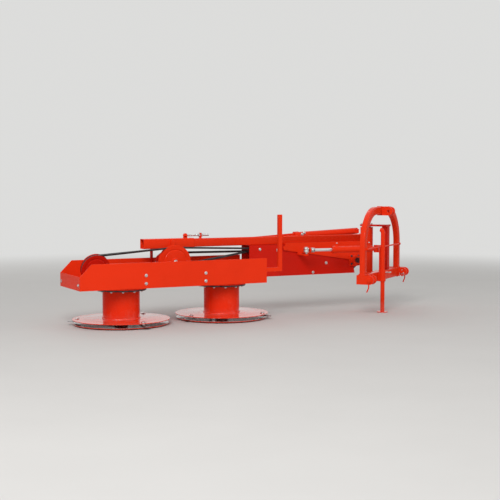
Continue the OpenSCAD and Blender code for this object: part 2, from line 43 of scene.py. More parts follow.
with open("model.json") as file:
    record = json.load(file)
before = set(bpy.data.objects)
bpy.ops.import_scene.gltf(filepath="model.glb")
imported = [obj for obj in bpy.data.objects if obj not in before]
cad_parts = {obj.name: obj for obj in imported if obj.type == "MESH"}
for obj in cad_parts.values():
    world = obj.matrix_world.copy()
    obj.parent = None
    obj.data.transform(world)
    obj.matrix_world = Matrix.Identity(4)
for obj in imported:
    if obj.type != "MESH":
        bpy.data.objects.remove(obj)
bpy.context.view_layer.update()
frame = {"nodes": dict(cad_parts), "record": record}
NODES = frame["nodes"]
RECORD = frame["record"]
BODY_OF = {n: b for b, nodes in RECORD["behaviour"]["bodies"].items() for n in nodes}
SLOT_OF = {part["node"]: part["material_slot"] for part in RECORD["subparts"]}
JOINTS = {joint["name"]: joint for joint in RECORD["behaviour"]["joints"]}
MOUNTS = {mount["name"]: Vector(mount["pos_m"]) for mount in RECORD["mounts"]}
MM = 0.001


def middle(node):
    low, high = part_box(node)
    return (Vector(low) + Vector(high)) / 2


def in_mm(origin, turn=0.0):
    """Matrix from millimetres in a frame of its own to the row's metres."""
    return (Matrix.Translation((origin.x, origin.y, 0)) @ Matrix.Rotation(turn, 4, "Z")
            @ Matrix.Diagonal((MM, MM, MM, 1)))


# Two working frames in millimetres: the bar's starts under the outer drum, the headstock's
# starts midway between the lower hitch pins, with x to the far pin and y to the rear.
BAR = in_mm(middle("skid_outer"))
TO_BAR = BAR.inverted()
HITCH_LINE = MOUNTS["lower_hitch_far"] - MOUNTS["lower_hitch_near"]
HEAD_TURN = math.atan2(HITCH_LINE.y, HITCH_LINE.x)
HEAD = in_mm((MOUNTS["lower_hitch_far"] + MOUNTS["lower_hitch_near"]) / 2, HEAD_TURN)

DRUM_PITCH = (TO_BAR @ middle("skid_inner")).x
DRUMS = {"outer": 0.0, "inner": DRUM_PITCH}
DRUM_R = 109.5
DISC_TOP = 38.0
DRUM_TOP = 219.0
LEVEL_Z = 270.0
BOX_NEAR = (TO_BAR @ Vector(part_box("side_plate_near")[0])).y
HITCH_HALF = HITCH_LINE.length / MM / 2
HITCH_Z = MOUNTS["lower_hitch_near"].z / MM


def centre_of(joint):
    return TO_BAR @ Vector(JOINTS[joint]["pos_m"])


def facing(joint):
    """Matrix that sets a piece drawn about Z on a joint's axis, its +z side towards the front."""
    axis = Vector(JOINTS[joint]["axis"])
    return BAR @ Matrix.Translation(centre_of(joint)) @ (-axis).to_track_quat("Z", "X").to_matrix().to_4x4()


# Sizes and colours that a user may change
def colour_setting(name, text, default):
    return FloatVectorProperty(
        name=name, description=text, subtype="COLOR", size=3, min=0, max=1, default=default)


def length_setting(name, text, low, high, default):
    return FloatProperty(name=name, description=text, unit="LENGTH", min=low, max=high, default=default)


def power_setting(name, text, default):
    return FloatProperty(name=name, description=text, unit="POWER", min=0, max=2000, default=default)


class MowerPaint(bpy.types.PropertyGroup):
    """Colours of the paint and of the dust on it"""
    red: colour_setting("Red", "Paint of the beam, box, drums and headstock", (0.87, 0.038, 0.008))
    # Darker red: the same paint as Red, darkened as painted shade for parts that sit in shadow
    dark: colour_setting("Dark red", "Paint of the guards, deck and tilted pulleys", (0.66, 0.016, 0.007))
    dust: colour_setting("Dust", "Dust that lies on level faces and low down", (0.46, 0.36, 0.28))
    roughness: FloatProperty(
        name="Roughness", description="Roughness of the clean paint", subtype="FACTOR",
        min=0.05, max=0.8, default=0.24)


class MowerFasteners(bpy.types.PropertyGroup):
    """Sizes of one bolt of the box, on which the others are scaled"""
    corner: length_setting("Corner radius", "Radius over the corners of the hexagon", 0.004, 0.02, 0.0078)
    height: length_setting("Head height", "Height of the hexagon", 0.002, 0.02, 0.0050)
    washer: length_setting("Washer radius", "Outer radius of the washer", 0.004, 0.03, 0.0096)
    washer_height: length_setting("Washer height", "Thickness of the washer", 0.0005, 0.005, 0.0014)


class MowerBelts(bpy.types.PropertyGroup):
    """Section of a V-belt"""
    back: length_setting("Back", "Width of the belt's back", 0.012, 0.018, 0.017)
    foot: length_setting("Foot", "Width of the belt's narrow side", 0.008, 0.014, 0.0113)
    depth: length_setting("Depth", "Depth of the belt", 0.008, 0.012, 0.011)
    corner: length_setting("Corner", "Rounding of the belt's corners", 0.0003, 0.003, 0.0012)


class MowerWelds(bpy.types.PropertyGroup):
    """Weld beads"""
    radius: length_setting("Radius", "Mean radius of a bead", 0.001, 0.006, 0.0034)
    pitch: length_setting("Ripple pitch", "Distance between two ripples of a bead", 0.001, 0.01, 0.0042)
    seed: IntProperty(
        name="Seed", description="Seed of the beads' uneven width", min=0, max=100, default=7)


class MowerStudio(bpy.types.PropertyGroup):
    """Floor, backdrop and lamps"""
    floor: colour_setting("Floor", "Colour of the floor", (0.60, 0.588, 0.57))
    backdrop: colour_setting("Backdrop", "Colour behind the object", (0.72, 0.72, 0.71))
    world: FloatProperty(
        name="World", description="Strength of the light from all round", min=0, max=2, default=0.44)
    key: power_setting("Key", "Power of the key lamp", 280)
    fill: power_setting("Fill", "Power of the fill lamp", 50)
    back: power_setting("Back", "Power of the lamp behind", 60)


GROUPS = {
    "mower_paint": MowerPaint, "mower_fasteners": MowerFasteners, "mower_belts": MowerBelts,
    "mower_welds": MowerWelds, "mower_studio": MowerStudio,
}


# Node trees
class Sock:
    """A node's output whose operators add Math nodes."""

    def __init__(self, tree, socket):
        self.tree, self.socket = tree, socket

    def _math(self, operation, *values, clamp=False):
        return self.tree.node("ShaderNodeMath", {"operation": operation, "use_clamp": clamp}, *values)

    def __add__(self, other):
        return self._math("ADD", self, other)

    __radd__ = __add__

    def __sub__(self, other):
        return self._math("SUBTRACT", self, other)

    def __rsub__(self, other):
        return self._math("SUBTRACT", other, self)

    def __mul__(self, other):
        return self._math("MULTIPLY", self, other)

    __rmul__ = __mul__

    def __truediv__(self, other):
        return self._math("DIVIDE", self, other)

    def fraction(self):
        return self._math("FRACT", self)

    def clamp(self):
        return self._math("ADD", self, 0.0, clamp=True)

    def fade(self, low, high):
        """0 below low, 1 above high, smooth between."""
        return self.tree.node(
            "ShaderNodeMapRange", {"interpolation_type": "SMOOTHSTEP"}, self, low, high, 0.0, 1.0)


class Nodes:
    """Adds nodes to a tree, with their settings first and then their sockets."""

    def __init__(self, tree):
        self.tree = tree

    def node(self, kind, settings=None, *values, out=0, **named):
        made = self.tree.nodes.new(kind)
        for key, value in (settings or {}).items():
            setattr(made, key, value)
        for i, value in enumerate(values):
            self.feed(made.inputs[i], value)
        for key, value in named.items():
            self.feed(made.inputs[key.replace("_", " ")], value)
        return Sock(self, made.outputs[out])

    def feed(self, socket, value):
        if isinstance(value, (list, tuple)) and value and isinstance(value[0], Sock):
            for one in value:
                self.tree.links.new(one.socket, socket)
        elif isinstance(value, Sock):
            self.tree.links.new(value.socket, socket)
        elif value is not None:
            socket.default_value = value


class Finish(Nodes):
    """The node tree of one material, with its pattern in object coordinates."""

    def __init__(self, name):
        self.material = bpy.data.materials.new(name)
        self.material.use_nodes = True
        super().__init__(self.material.node_tree)
        self.tree.nodes.clear()
        self.place = self.node("ShaderNodeTexCoord", out="Object")

    def noise(self, scale, detail=2.0, rough=0.5, place=None):
        return self.node("ShaderNodeTexNoise", Vector=place or self.place,
                         Scale=scale, Detail=detail, Roughness=rough)

    def stretched(self, scale):
        """The place scaled by a vector, for streaks along one direction."""
        return self.node("ShaderNodeMapping", Vector=self.place, Scale=scale)

    def mix(self, factor, a, b):
        made = self.tree.nodes.new("ShaderNodeMix")
        made.data_type = "RGBA"
        for i, value in ((0, factor), (6, a), (7, b)):
            self.feed(made.inputs[i], value)
        return Sock(self, made.outputs[2])

    def split(self, vector):
        made = self.tree.nodes.new("ShaderNodeSeparateXYZ")
        self.feed(made.inputs[0], vector)
        return [Sock(self, made.outputs[i]) for i in range(3)]

    def bump(self, height, strength, distance, normal=None):
        return self.node("ShaderNodeBump", Strength=strength, Distance=distance,
                         Height=height, Normal=normal)

    def finish(self, **named):
        self.surface(self.node("ShaderNodeBsdfPrincipled", **named))
        return self.material

    def surface(self, shader):
        out = self.tree.nodes.new("ShaderNodeOutputMaterial")
        self.feed(out.inputs["Surface"], shader)


def rgba(colour, factor=1.0):
    return (*(min(1.0, c * factor) for c in colour), 1.0)


def gloss_paint(name, colour, paint, scraped=False):
    """Sprayed gloss paint on sheet steel: orange peel, slow waves and a little dust.

    Where it is scraped, level faces get pale bare patches, partly rubbed wear and partly a painted reflection
    of the sky, and dark blotches of painted shade.
    """
    t = Finish(name)
    height = t.split(t.place)[2]
    tone = t.noise(4.0, 3.0).fade(0.3, 0.7)
    specks = t.noise(160.0, 3.0, 0.6)
    lying = t.split(t.node("ShaderNodeNewGeometry", out="Normal"))[2].fade(0.45, 0.98)
    low = 1.0 - height.fade(0.01, 0.22)
    patches = t.noise(13.0, 7.0, 0.68).fade(0.46, 0.74)
    grains = specks.fade(0.62, 0.72)
    film = (patches * (0.16 * low + 0.15 * lying) + grains * (0.20 * low + 0.10 * lying)).clamp()
    base = t.mix(tone * 0.6, rgba(colour), rgba(colour, 0.90))
    base = t.mix(film, base, rgba(paint.dust))
    peel = t.bump(t.noise(520.0, 1.0), 0.10, 0.0005)
    waves = t.bump(t.noise(8.0, 1.0), 0.22, 0.0015, peel)
    rough = paint.roughness + film * 0.5 + specks * 0.06
    named = {}
    if scraped:
        # Pale bare-steel patches on upward faces: partly rubbed wear, partly a painted reflection standing in
        # for the sky's sheen on the skid tops
        bare_and_sheen = (lying * t.noise(30.0, 5.0, 0.6).fade(0.36, 0.46)).clamp()
        # Near-black blotches on upward faces: painted shade for the dark patches in the gap under the disc
        painted_shade_blotches = (lying * t.noise(24.0, 4.0, 0.6).fade(0.47, 0.52)).clamp()
        base = t.mix(painted_shade_blotches, t.mix(bare_and_sheen, base, (0.80, 0.80, 0.83, 1)), (0.030, 0.020, 0.016, 1))
        named["Metallic"] = bare_and_sheen * (1.0 - painted_shade_blotches) * 0.8
        rough = rough + bare_and_sheen * 0.1 + painted_shade_blotches * 0.4
    low_gloss = 1.0 - height.fade(0.045, 0.075)
    coat = (0.03 + low_gloss * 0.85 + lying * 0.5 - film * 0.5).clamp()
    return t.finish(Base_Color=base, Roughness=rough, Specular_IOR_Level=0.12, Coat_Weight=coat,
                    Coat_Roughness=0.06, Normal=waves, IOR=1.30, **named)


def plated_steel(name, colour, rough=0.28, cloud_depth=0.72):
    """Zinc plate or bright steel, clouded and finely brushed."""
    t = Finish(name)
    cloud = t.noise(45.0, 5.0, 0.6)
    brushed = t.noise(900.0, 2.0, place=t.stretched((1.0, 1.0, 0.15)))
    base = t.mix(cloud.fade(0.3, 0.75), rgba(colour), rgba(colour, cloud_depth))
    return t.finish(Base_Color=base, Metallic=1.0, Roughness=rough + cloud * 0.16,
                    Normal=t.bump(brushed, 0.08, 0.0003))


def cast_steel(name, colour):
    """Dark machined casting with a worn sheen and oily dust."""
    t = Finish(name)
    grain = t.noise(260.0, 4.0, 0.6)
    dust = t.noise(22.0, 6.0, 0.65).fade(0.5, 0.75)
    base = t.mix(dust * 0.4, rgba(colour), (0.20, 0.165, 0.13, 1))
    return t.finish(Base_Color=base, Metallic=0.75 - dust * 0.4, Roughness=0.42 + grain * 0.2,
                    Normal=t.bump(grain, 0.3, 0.0004))


def knife_steel(name, colour):
    """Hardened steel with scratches along the blade and a bloom of rust."""
    t = Finish(name)
    scratch = t.noise(380.0, 3.0, place=t.stretched((0.2, 1.0, 1.0)))
    rust = t.noise(70.0, 6.0, 0.7).fade(0.58, 0.78)
    base = t.mix(scratch.fade(0.3, 0.7), rgba(colour), rgba(colour, 0.6))
    base = t.mix(rust * 0.7, base, (0.20, 0.075, 0.03, 1))
    return t.finish(Base_Color=base, Metallic=1.0 - rust * 0.8, Roughness=0.30 + scratch * 0.2 + rust * 0.3,
                    Normal=t.bump(scratch, 0.15, 0.0003))


def belt_rubber(name):
    """Wrapped V-belt: woven cover with rubbed patches."""
    t = Finish(name)
    weave = [t.node("ShaderNodeTexWave", {"wave_type": "BANDS", "bands_direction": "DIAGONAL"},
                    Vector=t.stretched(scale), Scale=420.0, Distortion=0.4)
             for scale in ((1, 1, 1), (-1, 1, 1))]
    worn = t.noise(24.0, 5.0, 0.6).fade(0.35, 0.75)
    base = t.mix(worn, (0.017, 0.016, 0.018, 1), (0.060, 0.056, 0.058, 1))
    return t.finish(Base_Color=base, Roughness=0.55 + worn * 0.25,
                    Normal=t.bump(weave[0] * weave[1], 0.35, 0.0004))


FINISHES = {}


def finish_of(name):
    paint = bpy.context.scene.mower_paint
    makers = {
        "red_paint": lambda: gloss_paint("red_paint", paint.red, paint),
        # Red with painted shade in it, for the guards, deck and tilted guide pulleys
        "dark_red_paint": lambda: gloss_paint("dark_red_paint", paint.dark, paint),
        # Skid paint with pale patches of painted reflection and dark blotches of painted shade
        "scraped_paint": lambda: gloss_paint("scraped_paint", paint.red, paint, True),
        "zinc": lambda: plated_steel("zinc", (0.74, 0.74, 0.73)),
        "chrome_rod": lambda: plated_steel("chrome_rod", (0.88, 0.88, 0.89), 0.05, 0.95),
        "dark_steel": lambda: cast_steel("dark_steel", (0.075, 0.075, 0.08)),
        "knife_steel": lambda: knife_steel("knife_steel", (0.50, 0.50, 0.51)),
        "belt_rubber": lambda: belt_rubber("belt_rubber"),
    }
    if name not in FINISHES:
        FINISHES[name] = makers[name]()
    return FINISHES[name]


# Meshes
# Degrees between two faces from which their edge is bevelled
SHARP_ANGLE = 32
# Metres: the shortest edge of a whole tube, and the distance within which points become one
LONG_EDGE = 0.15
MERGED = 0.05 * MM


def show(name, bm, body, slot, matrix=None, bevel=0.0, replaces=(), finish=None):
    """A finished piece from bm, placed by matrix, that rides on body; bevel in millimetres."""
    if matrix is not None:
        bm.transform(matrix)
    for face in bm.faces:
        face.smooth = True
    mesh = bpy.data.meshes.new(name)
    bm.to_mesh(mesh)
    bm.free()
    mesh.set_sharp_from_angle(angle=math.radians(SHARP_ANGLE + 6))
    piece = bpy.data.objects.new(name, mesh)
    bpy.context.scene.collection.objects.link(piece)
    mesh.materials.clear()
    mesh.materials.append(finish_of(finish or slot))
    if bevel:
        edges = piece.modifiers.new("edges", "BEVEL")
        edges.width, edges.segments = bevel * MM, 2
        edges.limit_method, edges.angle_limit = "ANGLE", math.radians(SHARP_ANGLE)
        edges.use_clamp_overlap = True
        edges.harden_normals = True
    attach(piece, body)
    if replaces:
        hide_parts(*replaces)
    return piece


def merged(node, slivers=0.02):
    """A CAD node's mesh as one surface with whole flat faces, and no edge shorter than slivers in mm."""
    bm = bmesh.new()
    bm.from_mesh(NODES[node].data)
    bmesh.ops.remove_doubles(bm, verts=bm.verts, dist=slivers * MM)
    bmesh.ops.dissolve_limit(bm, angle_limit=math.radians(0.5), verts=bm.verts, edges=bm.edges)
    return bm


def round_long_edges(bm, direction, radius):
    """Rounds a tube's outer edges that run along direction."""
    chosen = []
    for edge in bm.edges:
        along = edge.verts[1].co - edge.verts[0].co
        if (len(edge.link_faces) == 2 and edge.is_convex and along.length > LONG_EDGE
                and abs(along.normalized().dot(direction)) > 0.999
                and edge.calc_face_angle(0) > math.radians(80)):
            chosen.append(edge)
    bmesh.ops.bevel(bm, geom=chosen, offset=radius * MM, segments=4, profile=0.5, affect="EDGES")
    bmesh.ops.remove_doubles(bm, verts=bm.verts, dist=MERGED)
    bmesh.ops.dissolve_degenerate(bm, dist=MERGED, edges=bm.edges)
    return bm


def softened(node, bevel, bm=None, slivers=0.02):
    """A merged copy of a CAD node with its edges rounded, that stands for it."""
    return show(f"{node}_shown", bm or merged(node, slivers), BODY_OF[node], SLOT_OF[node],
                bevel=bevel, replaces=(node,))


def rounded(points, radius):
    """The closed outline with its corners turned into small arcs of four points."""
    out = []
    for i, point in enumerate(points):
        here = Vector(point)
        before, after = Vector(points[i - 1]) - here, Vector(points[(i + 1) % len(points)]) - here
        reach = min(radius, before.length / 2.1, after.length / 2.1)
        straight = before.normalized().dot(after.normalized()) < -0.995
        if here.x < 1e-6 or straight or reach < 1e-4:
            out.append(tuple(here))
            continue
        start, end = here + before.normalized() * reach, here + after.normalized() * reach
        for t in (0, 1 / 3, 2 / 3, 1):
            out.append(tuple(start * (1 - t) ** 2 + here * 2 * t * (1 - t) + end * t * t))
    return out


def lathe(outline, steps, soften, into=None):
    """Solid of revolution about Z from the (radius, height) points round its section."""
    bm = into or bmesh.new()
    rings = []
    for r, z in rounded(outline, soften):
        if r < 1e-6:
            rings.append([bm.verts.new((0, 0, z))] * steps)
            continue
        turn = 2 * math.pi / steps
        rings.append([bm.verts.new((r * math.cos(k * turn), r * math.sin(k * turn), z))
                      for k in range(steps)])
    faces = []
    for i, ring in enumerate(rings):
        other = rings[(i + 1) % len(rings)]
        for k in range(steps):
            corners = dict.fromkeys((ring[k], ring[(k + 1) % steps], other[(k + 1) % steps], other[k]))
            if len(corners) > 2:
                faces.append(bm.faces.new(list(corners)))
    bmesh.ops.recalc_face_normals(bm, faces=faces)
    return bm


def prism(outline, low, high):
    """Upright prism on a flat outline."""
    bm = bmesh.new()
    base = [bm.verts.new((x, y, low)) for x, y in outline]
    face = bm.faces.new(base)
    top = bmesh.ops.extrude_face_region(bm, geom=[face])["geom"]
    bmesh.ops.translate(bm, verts=[v for v in top if isinstance(v, bmesh.types.BMVert)],
                        vec=(0, 0, high - low))
    bmesh.ops.recalc_face_normals(bm, faces=bm.faces)
    return bm


def lines(name, paths, matrix, **attributes):
    """A mesh of polylines in millimetres, each closed if its last point repeats the first."""
    points, edges, values = [], [], {key: [] for key in attributes}
    for number, path in enumerate(paths):
        closed = (Vector(path[0]) - Vector(path[-1])).length < 1e-6 and len(path) > 2
        kept = path[:-1] if closed else path
        start = len(points)
        points += [matrix @ Vector(p) for p in kept]
        edges += [(start + i, start + i + 1) for i in range(len(kept) - 1)]
        if closed:
            edges.append((len(points) - 1, start))
        for key, given in attributes.items():
            values[key] += list(given[number])[:len(kept)]
    mesh = bpy.data.meshes.new(name)
    mesh.from_pydata(points, edges, [])
    turn = matrix.to_3x3().normalized()
    for key, given in values.items():
        if isinstance(given[0], float):
            mesh.attributes.new(key, "FLOAT", "POINT").data.foreach_set("value", given)
        else:
            flat = [c for v in given for c in turn @ Vector(v)]
            mesh.attributes.new(key, "FLOAT_VECTOR", "POINT").data.foreach_set("vector", flat)
    return mesh


# Geometry node trees
class Growth(Nodes):
    """A geometry node tree with named inputs that ends in Realize Instances and Set Material."""

    def __init__(self, name, **sizes):
        super().__init__(bpy.data.node_groups.new(name, "GeometryNodeTree"))
        face = self.tree.interface
        face.new_socket(name="Geometry", in_out="INPUT", socket_type="NodeSocketGeometry")
        for key, value in sizes.items():
            kind = "NodeSocketInt" if isinstance(value, int) else "NodeSocketFloat"
            made = face.new_socket(name=key.replace("_", " "), in_out="INPUT", socket_type=kind)
            made.default_value = value
        face.new_socket(name="Material", in_out="INPUT", socket_type="NodeSocketMaterial")
        face.new_socket(name="Geometry", in_out="OUTPUT", socket_type="NodeSocketGeometry")
        given = self.tree.nodes.new("NodeGroupInput")
        self.given = {s.name: Sock(self, s) for s in given.outputs if s.name}

    def __getitem__(self, name):
        return self.given[name]

    def geo(self, kind, settings=None, **named):
        """A geometry node by the rest of its type's name."""
        return self.node(f"GeometryNode{kind}", settings, **named)

    def named(self, name, kind="FLOAT_VECTOR"):
        return self.geo("InputNamedAttribute", {"data_type": kind}, Name=name)

    def end(self, geometry):
        real = self.geo("RealizeInstances", Geometry=geometry)
        dressed = self.geo("SetMaterial", Geometry=real, Material=self["Material"])
        self.feed(self.tree.nodes.new("NodeGroupOutput").inputs["Geometry"], dressed)
        return self.tree


def sweep_tree():
    """A flat-sided section with rounded corners along lines, its back turned to 'outward'."""
    g = Growth("sweep", Back=0.017, Foot=0.0113, Depth=0.011, Corner=0.001)
    path = g.geo("MeshToCurve", Mesh=g["Geometry"])
    path = g.geo("SetCurveNormal", {"mode": "FREE"}, Curve=path, Normal=g.named("outward"))
    shape = g.geo("CurvePrimitiveQuadrilateral", {"mode": "TRAPEZOID"},
                  Bottom_Width=g["Foot"], Top_Width=g["Back"], Height=g["Depth"], Offset=0.0)
    shape = g.geo("FilletCurve", {"mode": "POLY"}, Curve=shape, Count=3, Radius=g["Corner"])
    shape = g.geo("Transform", Geometry=shape, Rotation=(0, 0, -math.pi / 2))
    return g.end(g.geo("CurveToMesh", Curve=path, Profile_Curve=shape, Fill_Caps=True))


def bead_tree():
    """Weld beads along lines: rippled, and uneven in width."""
    g = Growth("beads", Radius=0.003, Pitch=0.004, Seed=7)
    path = g.geo("MeshToCurve", Mesh=g["Geometry"])
    path = g.geo("ResampleCurve", {"mode": "LENGTH"}, Curve=path, Length=g["Pitch"] / 3.0)
    along = g.geo("SplineParameter", out="Length")
    ripple = (along / g["Pitch"]).fraction()
    place = g.geo("InputPosition")
    uneven = g.node("ShaderNodeTexNoise", {"noise_dimensions": "4D"}, Vector=place, W=g["Seed"] * 1.0,
                    Scale=55.0, Detail=2.0)
    width = 0.55 + 0.28 * ripple + 0.50 * uneven
    circle = g.geo("CurvePrimitiveCircle", Resolution=8, Radius=g["Radius"])
    return g.end(g.geo("CurveToMesh", Curve=path, Profile_Curve=circle, Scale=width, Fill_Caps=True))


def rod_tree():
    """Round bar along lines, with its corners bent to a radius."""
    g = Growth("rods", Radius=0.003, Bend=0.01)
    path = g.geo("MeshToCurve", Mesh=g["Geometry"])
    path = g.geo("FilletCurve", {"mode": "POLY"}, Curve=path, Count=7, Radius=g["Bend"])
    circle = g.geo("CurvePrimitiveCircle", Resolution=14, Radius=g["Radius"])
    return g.end(g.geo("CurveToMesh", Curve=path, Profile_Curve=circle, Fill_Caps=True))


def bolt_tree():
    """A chamfered hexagon on its washer at each point, along 'axis' and scaled by 'size'."""
    g = Growth("bolts", Corner=0.01, Height=0.006, Washer=0.0125, Washer_Height=0.002)
    corner, height, seat = g["Corner"], g["Height"], g["Washer Height"]
    head = g.geo("MeshCylinder", Vertices=6, Radius=corner, Depth=height * 0.8)
    crown = g.geo("MeshCone", Vertices=24, Radius_Top=corner * 0.76, Radius_Bottom=corner * 0.88,
                  Depth=height * 0.2)
    stub = g.geo("MeshCylinder", Vertices=16, Radius=corner * 0.5, Depth=height * 0.5)
    washer = g.geo("MeshCylinder", Vertices=28, Radius=g["Washer"], Depth=seat)
    parts = [g.geo("Transform", Geometry=mesh, Translation=g.node("ShaderNodeCombineXYZ", Z=up))
             for mesh, up in ((head, seat + height * 0.4), (crown, seat + height * 0.8),
                              (stub, seat + height * 1.05), (washer, seat * 0.5))]
    bolt = g.geo("JoinGeometry", Geometry=parts)
    turn = g.node("FunctionNodeAlignRotationToVector", {"axis": "Z"}, Vector=g.named("axis"))
    return g.end(g.geo("InstanceOnPoints", Points=g["Geometry"], Instance=bolt, Rotation=turn,
                       Scale=g.named("size", "FLOAT")))


def thread_tree():
    """A screw thread round Z: one V-shaped rib wound on a core."""
    g = Growth("thread", Radius=0.006, Length=0.1, Pitch=0.002)
    spiral = g.geo("CurveSpiral", Resolution=20, Rotations=g["Length"] / g["Pitch"],
                   Start_Radius=g["Radius"] * 0.93, End_Radius=g["Radius"] * 0.93, Height=g["Length"])
    rib = g.geo("CurvePrimitiveCircle", Resolution=4, Radius=g["Pitch"] * 0.45)
    wound = g.geo("CurveToMesh", Curve=spiral, Profile_Curve=rib, Fill_Caps=True)
    core = g.geo("MeshCylinder", Vertices=24, Radius=g["Radius"] * 0.9, Depth=g["Length"])
    half = g.node("ShaderNodeCombineXYZ", Z=g["Length"] * 0.5)
    core = g.geo("Transform", Geometry=core, Translation=half)
    return g.end(g.geo("JoinGeometry", Geometry=[wound, core]))


TREES = {}


def grown(name, maker, mesh, body, slot, sizes, matrix=None, replaces=()):
    """The plain mesh that a node tree makes of mesh, as a piece that rides on body."""
    if maker not in TREES:
        TREES[maker] = maker()
    tree = TREES[maker]
    carrier = bpy.data.objects.new(f"{name}_lines", mesh)
    bpy.context.scene.collection.objects.link(carrier)
    growth = carrier.modifiers.new("growth", "NODES")
    growth.node_group = tree
    keys = {item.name: item.identifier for item in tree.interface.items_tree if item.in_out == "INPUT"}
    for key, value in sizes.items():
        growth[keys[key]] = value
    growth[keys["Material"]] = finish_of(slot)
    made = bpy.data.meshes.new_from_object(carrier.evaluated_get(bpy.context.evaluated_depsgraph_get()))
    carrier.modifiers.remove(growth)
    bpy.data.objects.remove(carrier)
    bm = bmesh.new()
    bm.from_mesh(made)
    bpy.data.meshes.remove(made)
    bmesh.ops.recalc_face_normals(bm, faces=bm.faces)
    return show(name, bm, body, slot, matrix, replaces=replaces)


def bolts(name, spots, slot="zinc"):
    """Hexagons with washers on the beam's body at (point, axis, size), with the point in millimetres."""
    s = bpy.context.scene.mower_fasteners
    mesh = lines(name, [[Vector(point)] for point, axis, size in spots], BAR,
                 axis=[[axis] for point, axis, size in spots],
                 size=[[float(size)] for point, axis, size in spots])
    return grown(name, bolt_tree, mesh, "beam", slot, {
        "Corner": s.corner, "Height": s.height, "Washer": s.washer, "Washer Height": s.washer_height})


def beads(name, body, paths, matrix=BAR, scale=1.0):
    """Painted weld beads along paths, in millimetres."""
    s = bpy.context.scene.mower_welds
    return grown(name, bead_tree, lines(name, paths, matrix), body, "red_paint",
                 {"Radius": s.radius * scale, "Pitch": s.pitch, "Seed": s.seed})


def rods(name, paths, radius, bend=0.0, slot="zinc", replaces=()):
    """Round bars of the headstock along paths, in millimetres."""
    return grown(name, rod_tree, lines(name, paths, HEAD), "headstock", slot,
                 {"Radius": radius * MM, "Bend": bend * MM}, replaces=replaces)


def thread(name, body, place, radius, length, pitch):
    """A thread drawn about Z in metres and set by place, a matrix from millimetres."""
    return grown(name, thread_tree, bpy.data.meshes.new(name), body, "zinc",
                 {"Radius": radius * MM, "Length": length * MM, "Pitch": pitch * MM},
                 place @ Matrix.Scale(1 / MM, 4))


# How a flat point (u, v) lies in the plane across each axis
ACROSS = {
    "x": lambda u, v: Vector((0, u, v)),
    "y": lambda u, v: Vector((u, 0, v)),
    "z": lambda u, v: Vector((u, v, 0)),
}


def spread(centre, radius, count, start=0.0, normal="z"):
    """Points spread evenly round an axis of the frame, the first at start in degrees."""
    turns = [math.radians(360 * k / count + start) for k in range(count)]
    return [Vector(centre) + ACROSS[normal](radius * math.cos(a), radius * math.sin(a)) for a in turns]


def circle(centre, radius, normal="z", steps=48):
    """The closed line round a circle across an axis."""
    points = spread(centre, radius, steps, 0.0, normal)
    return points + [points[0].copy()]


def frame_line(centre, width, height, normal):
    """The closed line round a rectangle across an axis."""
    w, h = width / 2, height / 2
    corners = ((-w, -h), (w, -h), (w, h), (-w, h), (-w, -h))
    return [Vector(centre) + ACROSS[normal](u, v) for u, v in corners]


def at(x=0.0, y=0.0, z=0.0):
    return Matrix.Translation((x, y, z))


# Lays a piece that is drawn about Z along X
ALONG_X = Matrix.Rotation(math.pi / 2, 4, "Y")


def hexagon(radius):
    return [tuple(point.xy) for point in spread((0, 0, 0), radius, 6)]


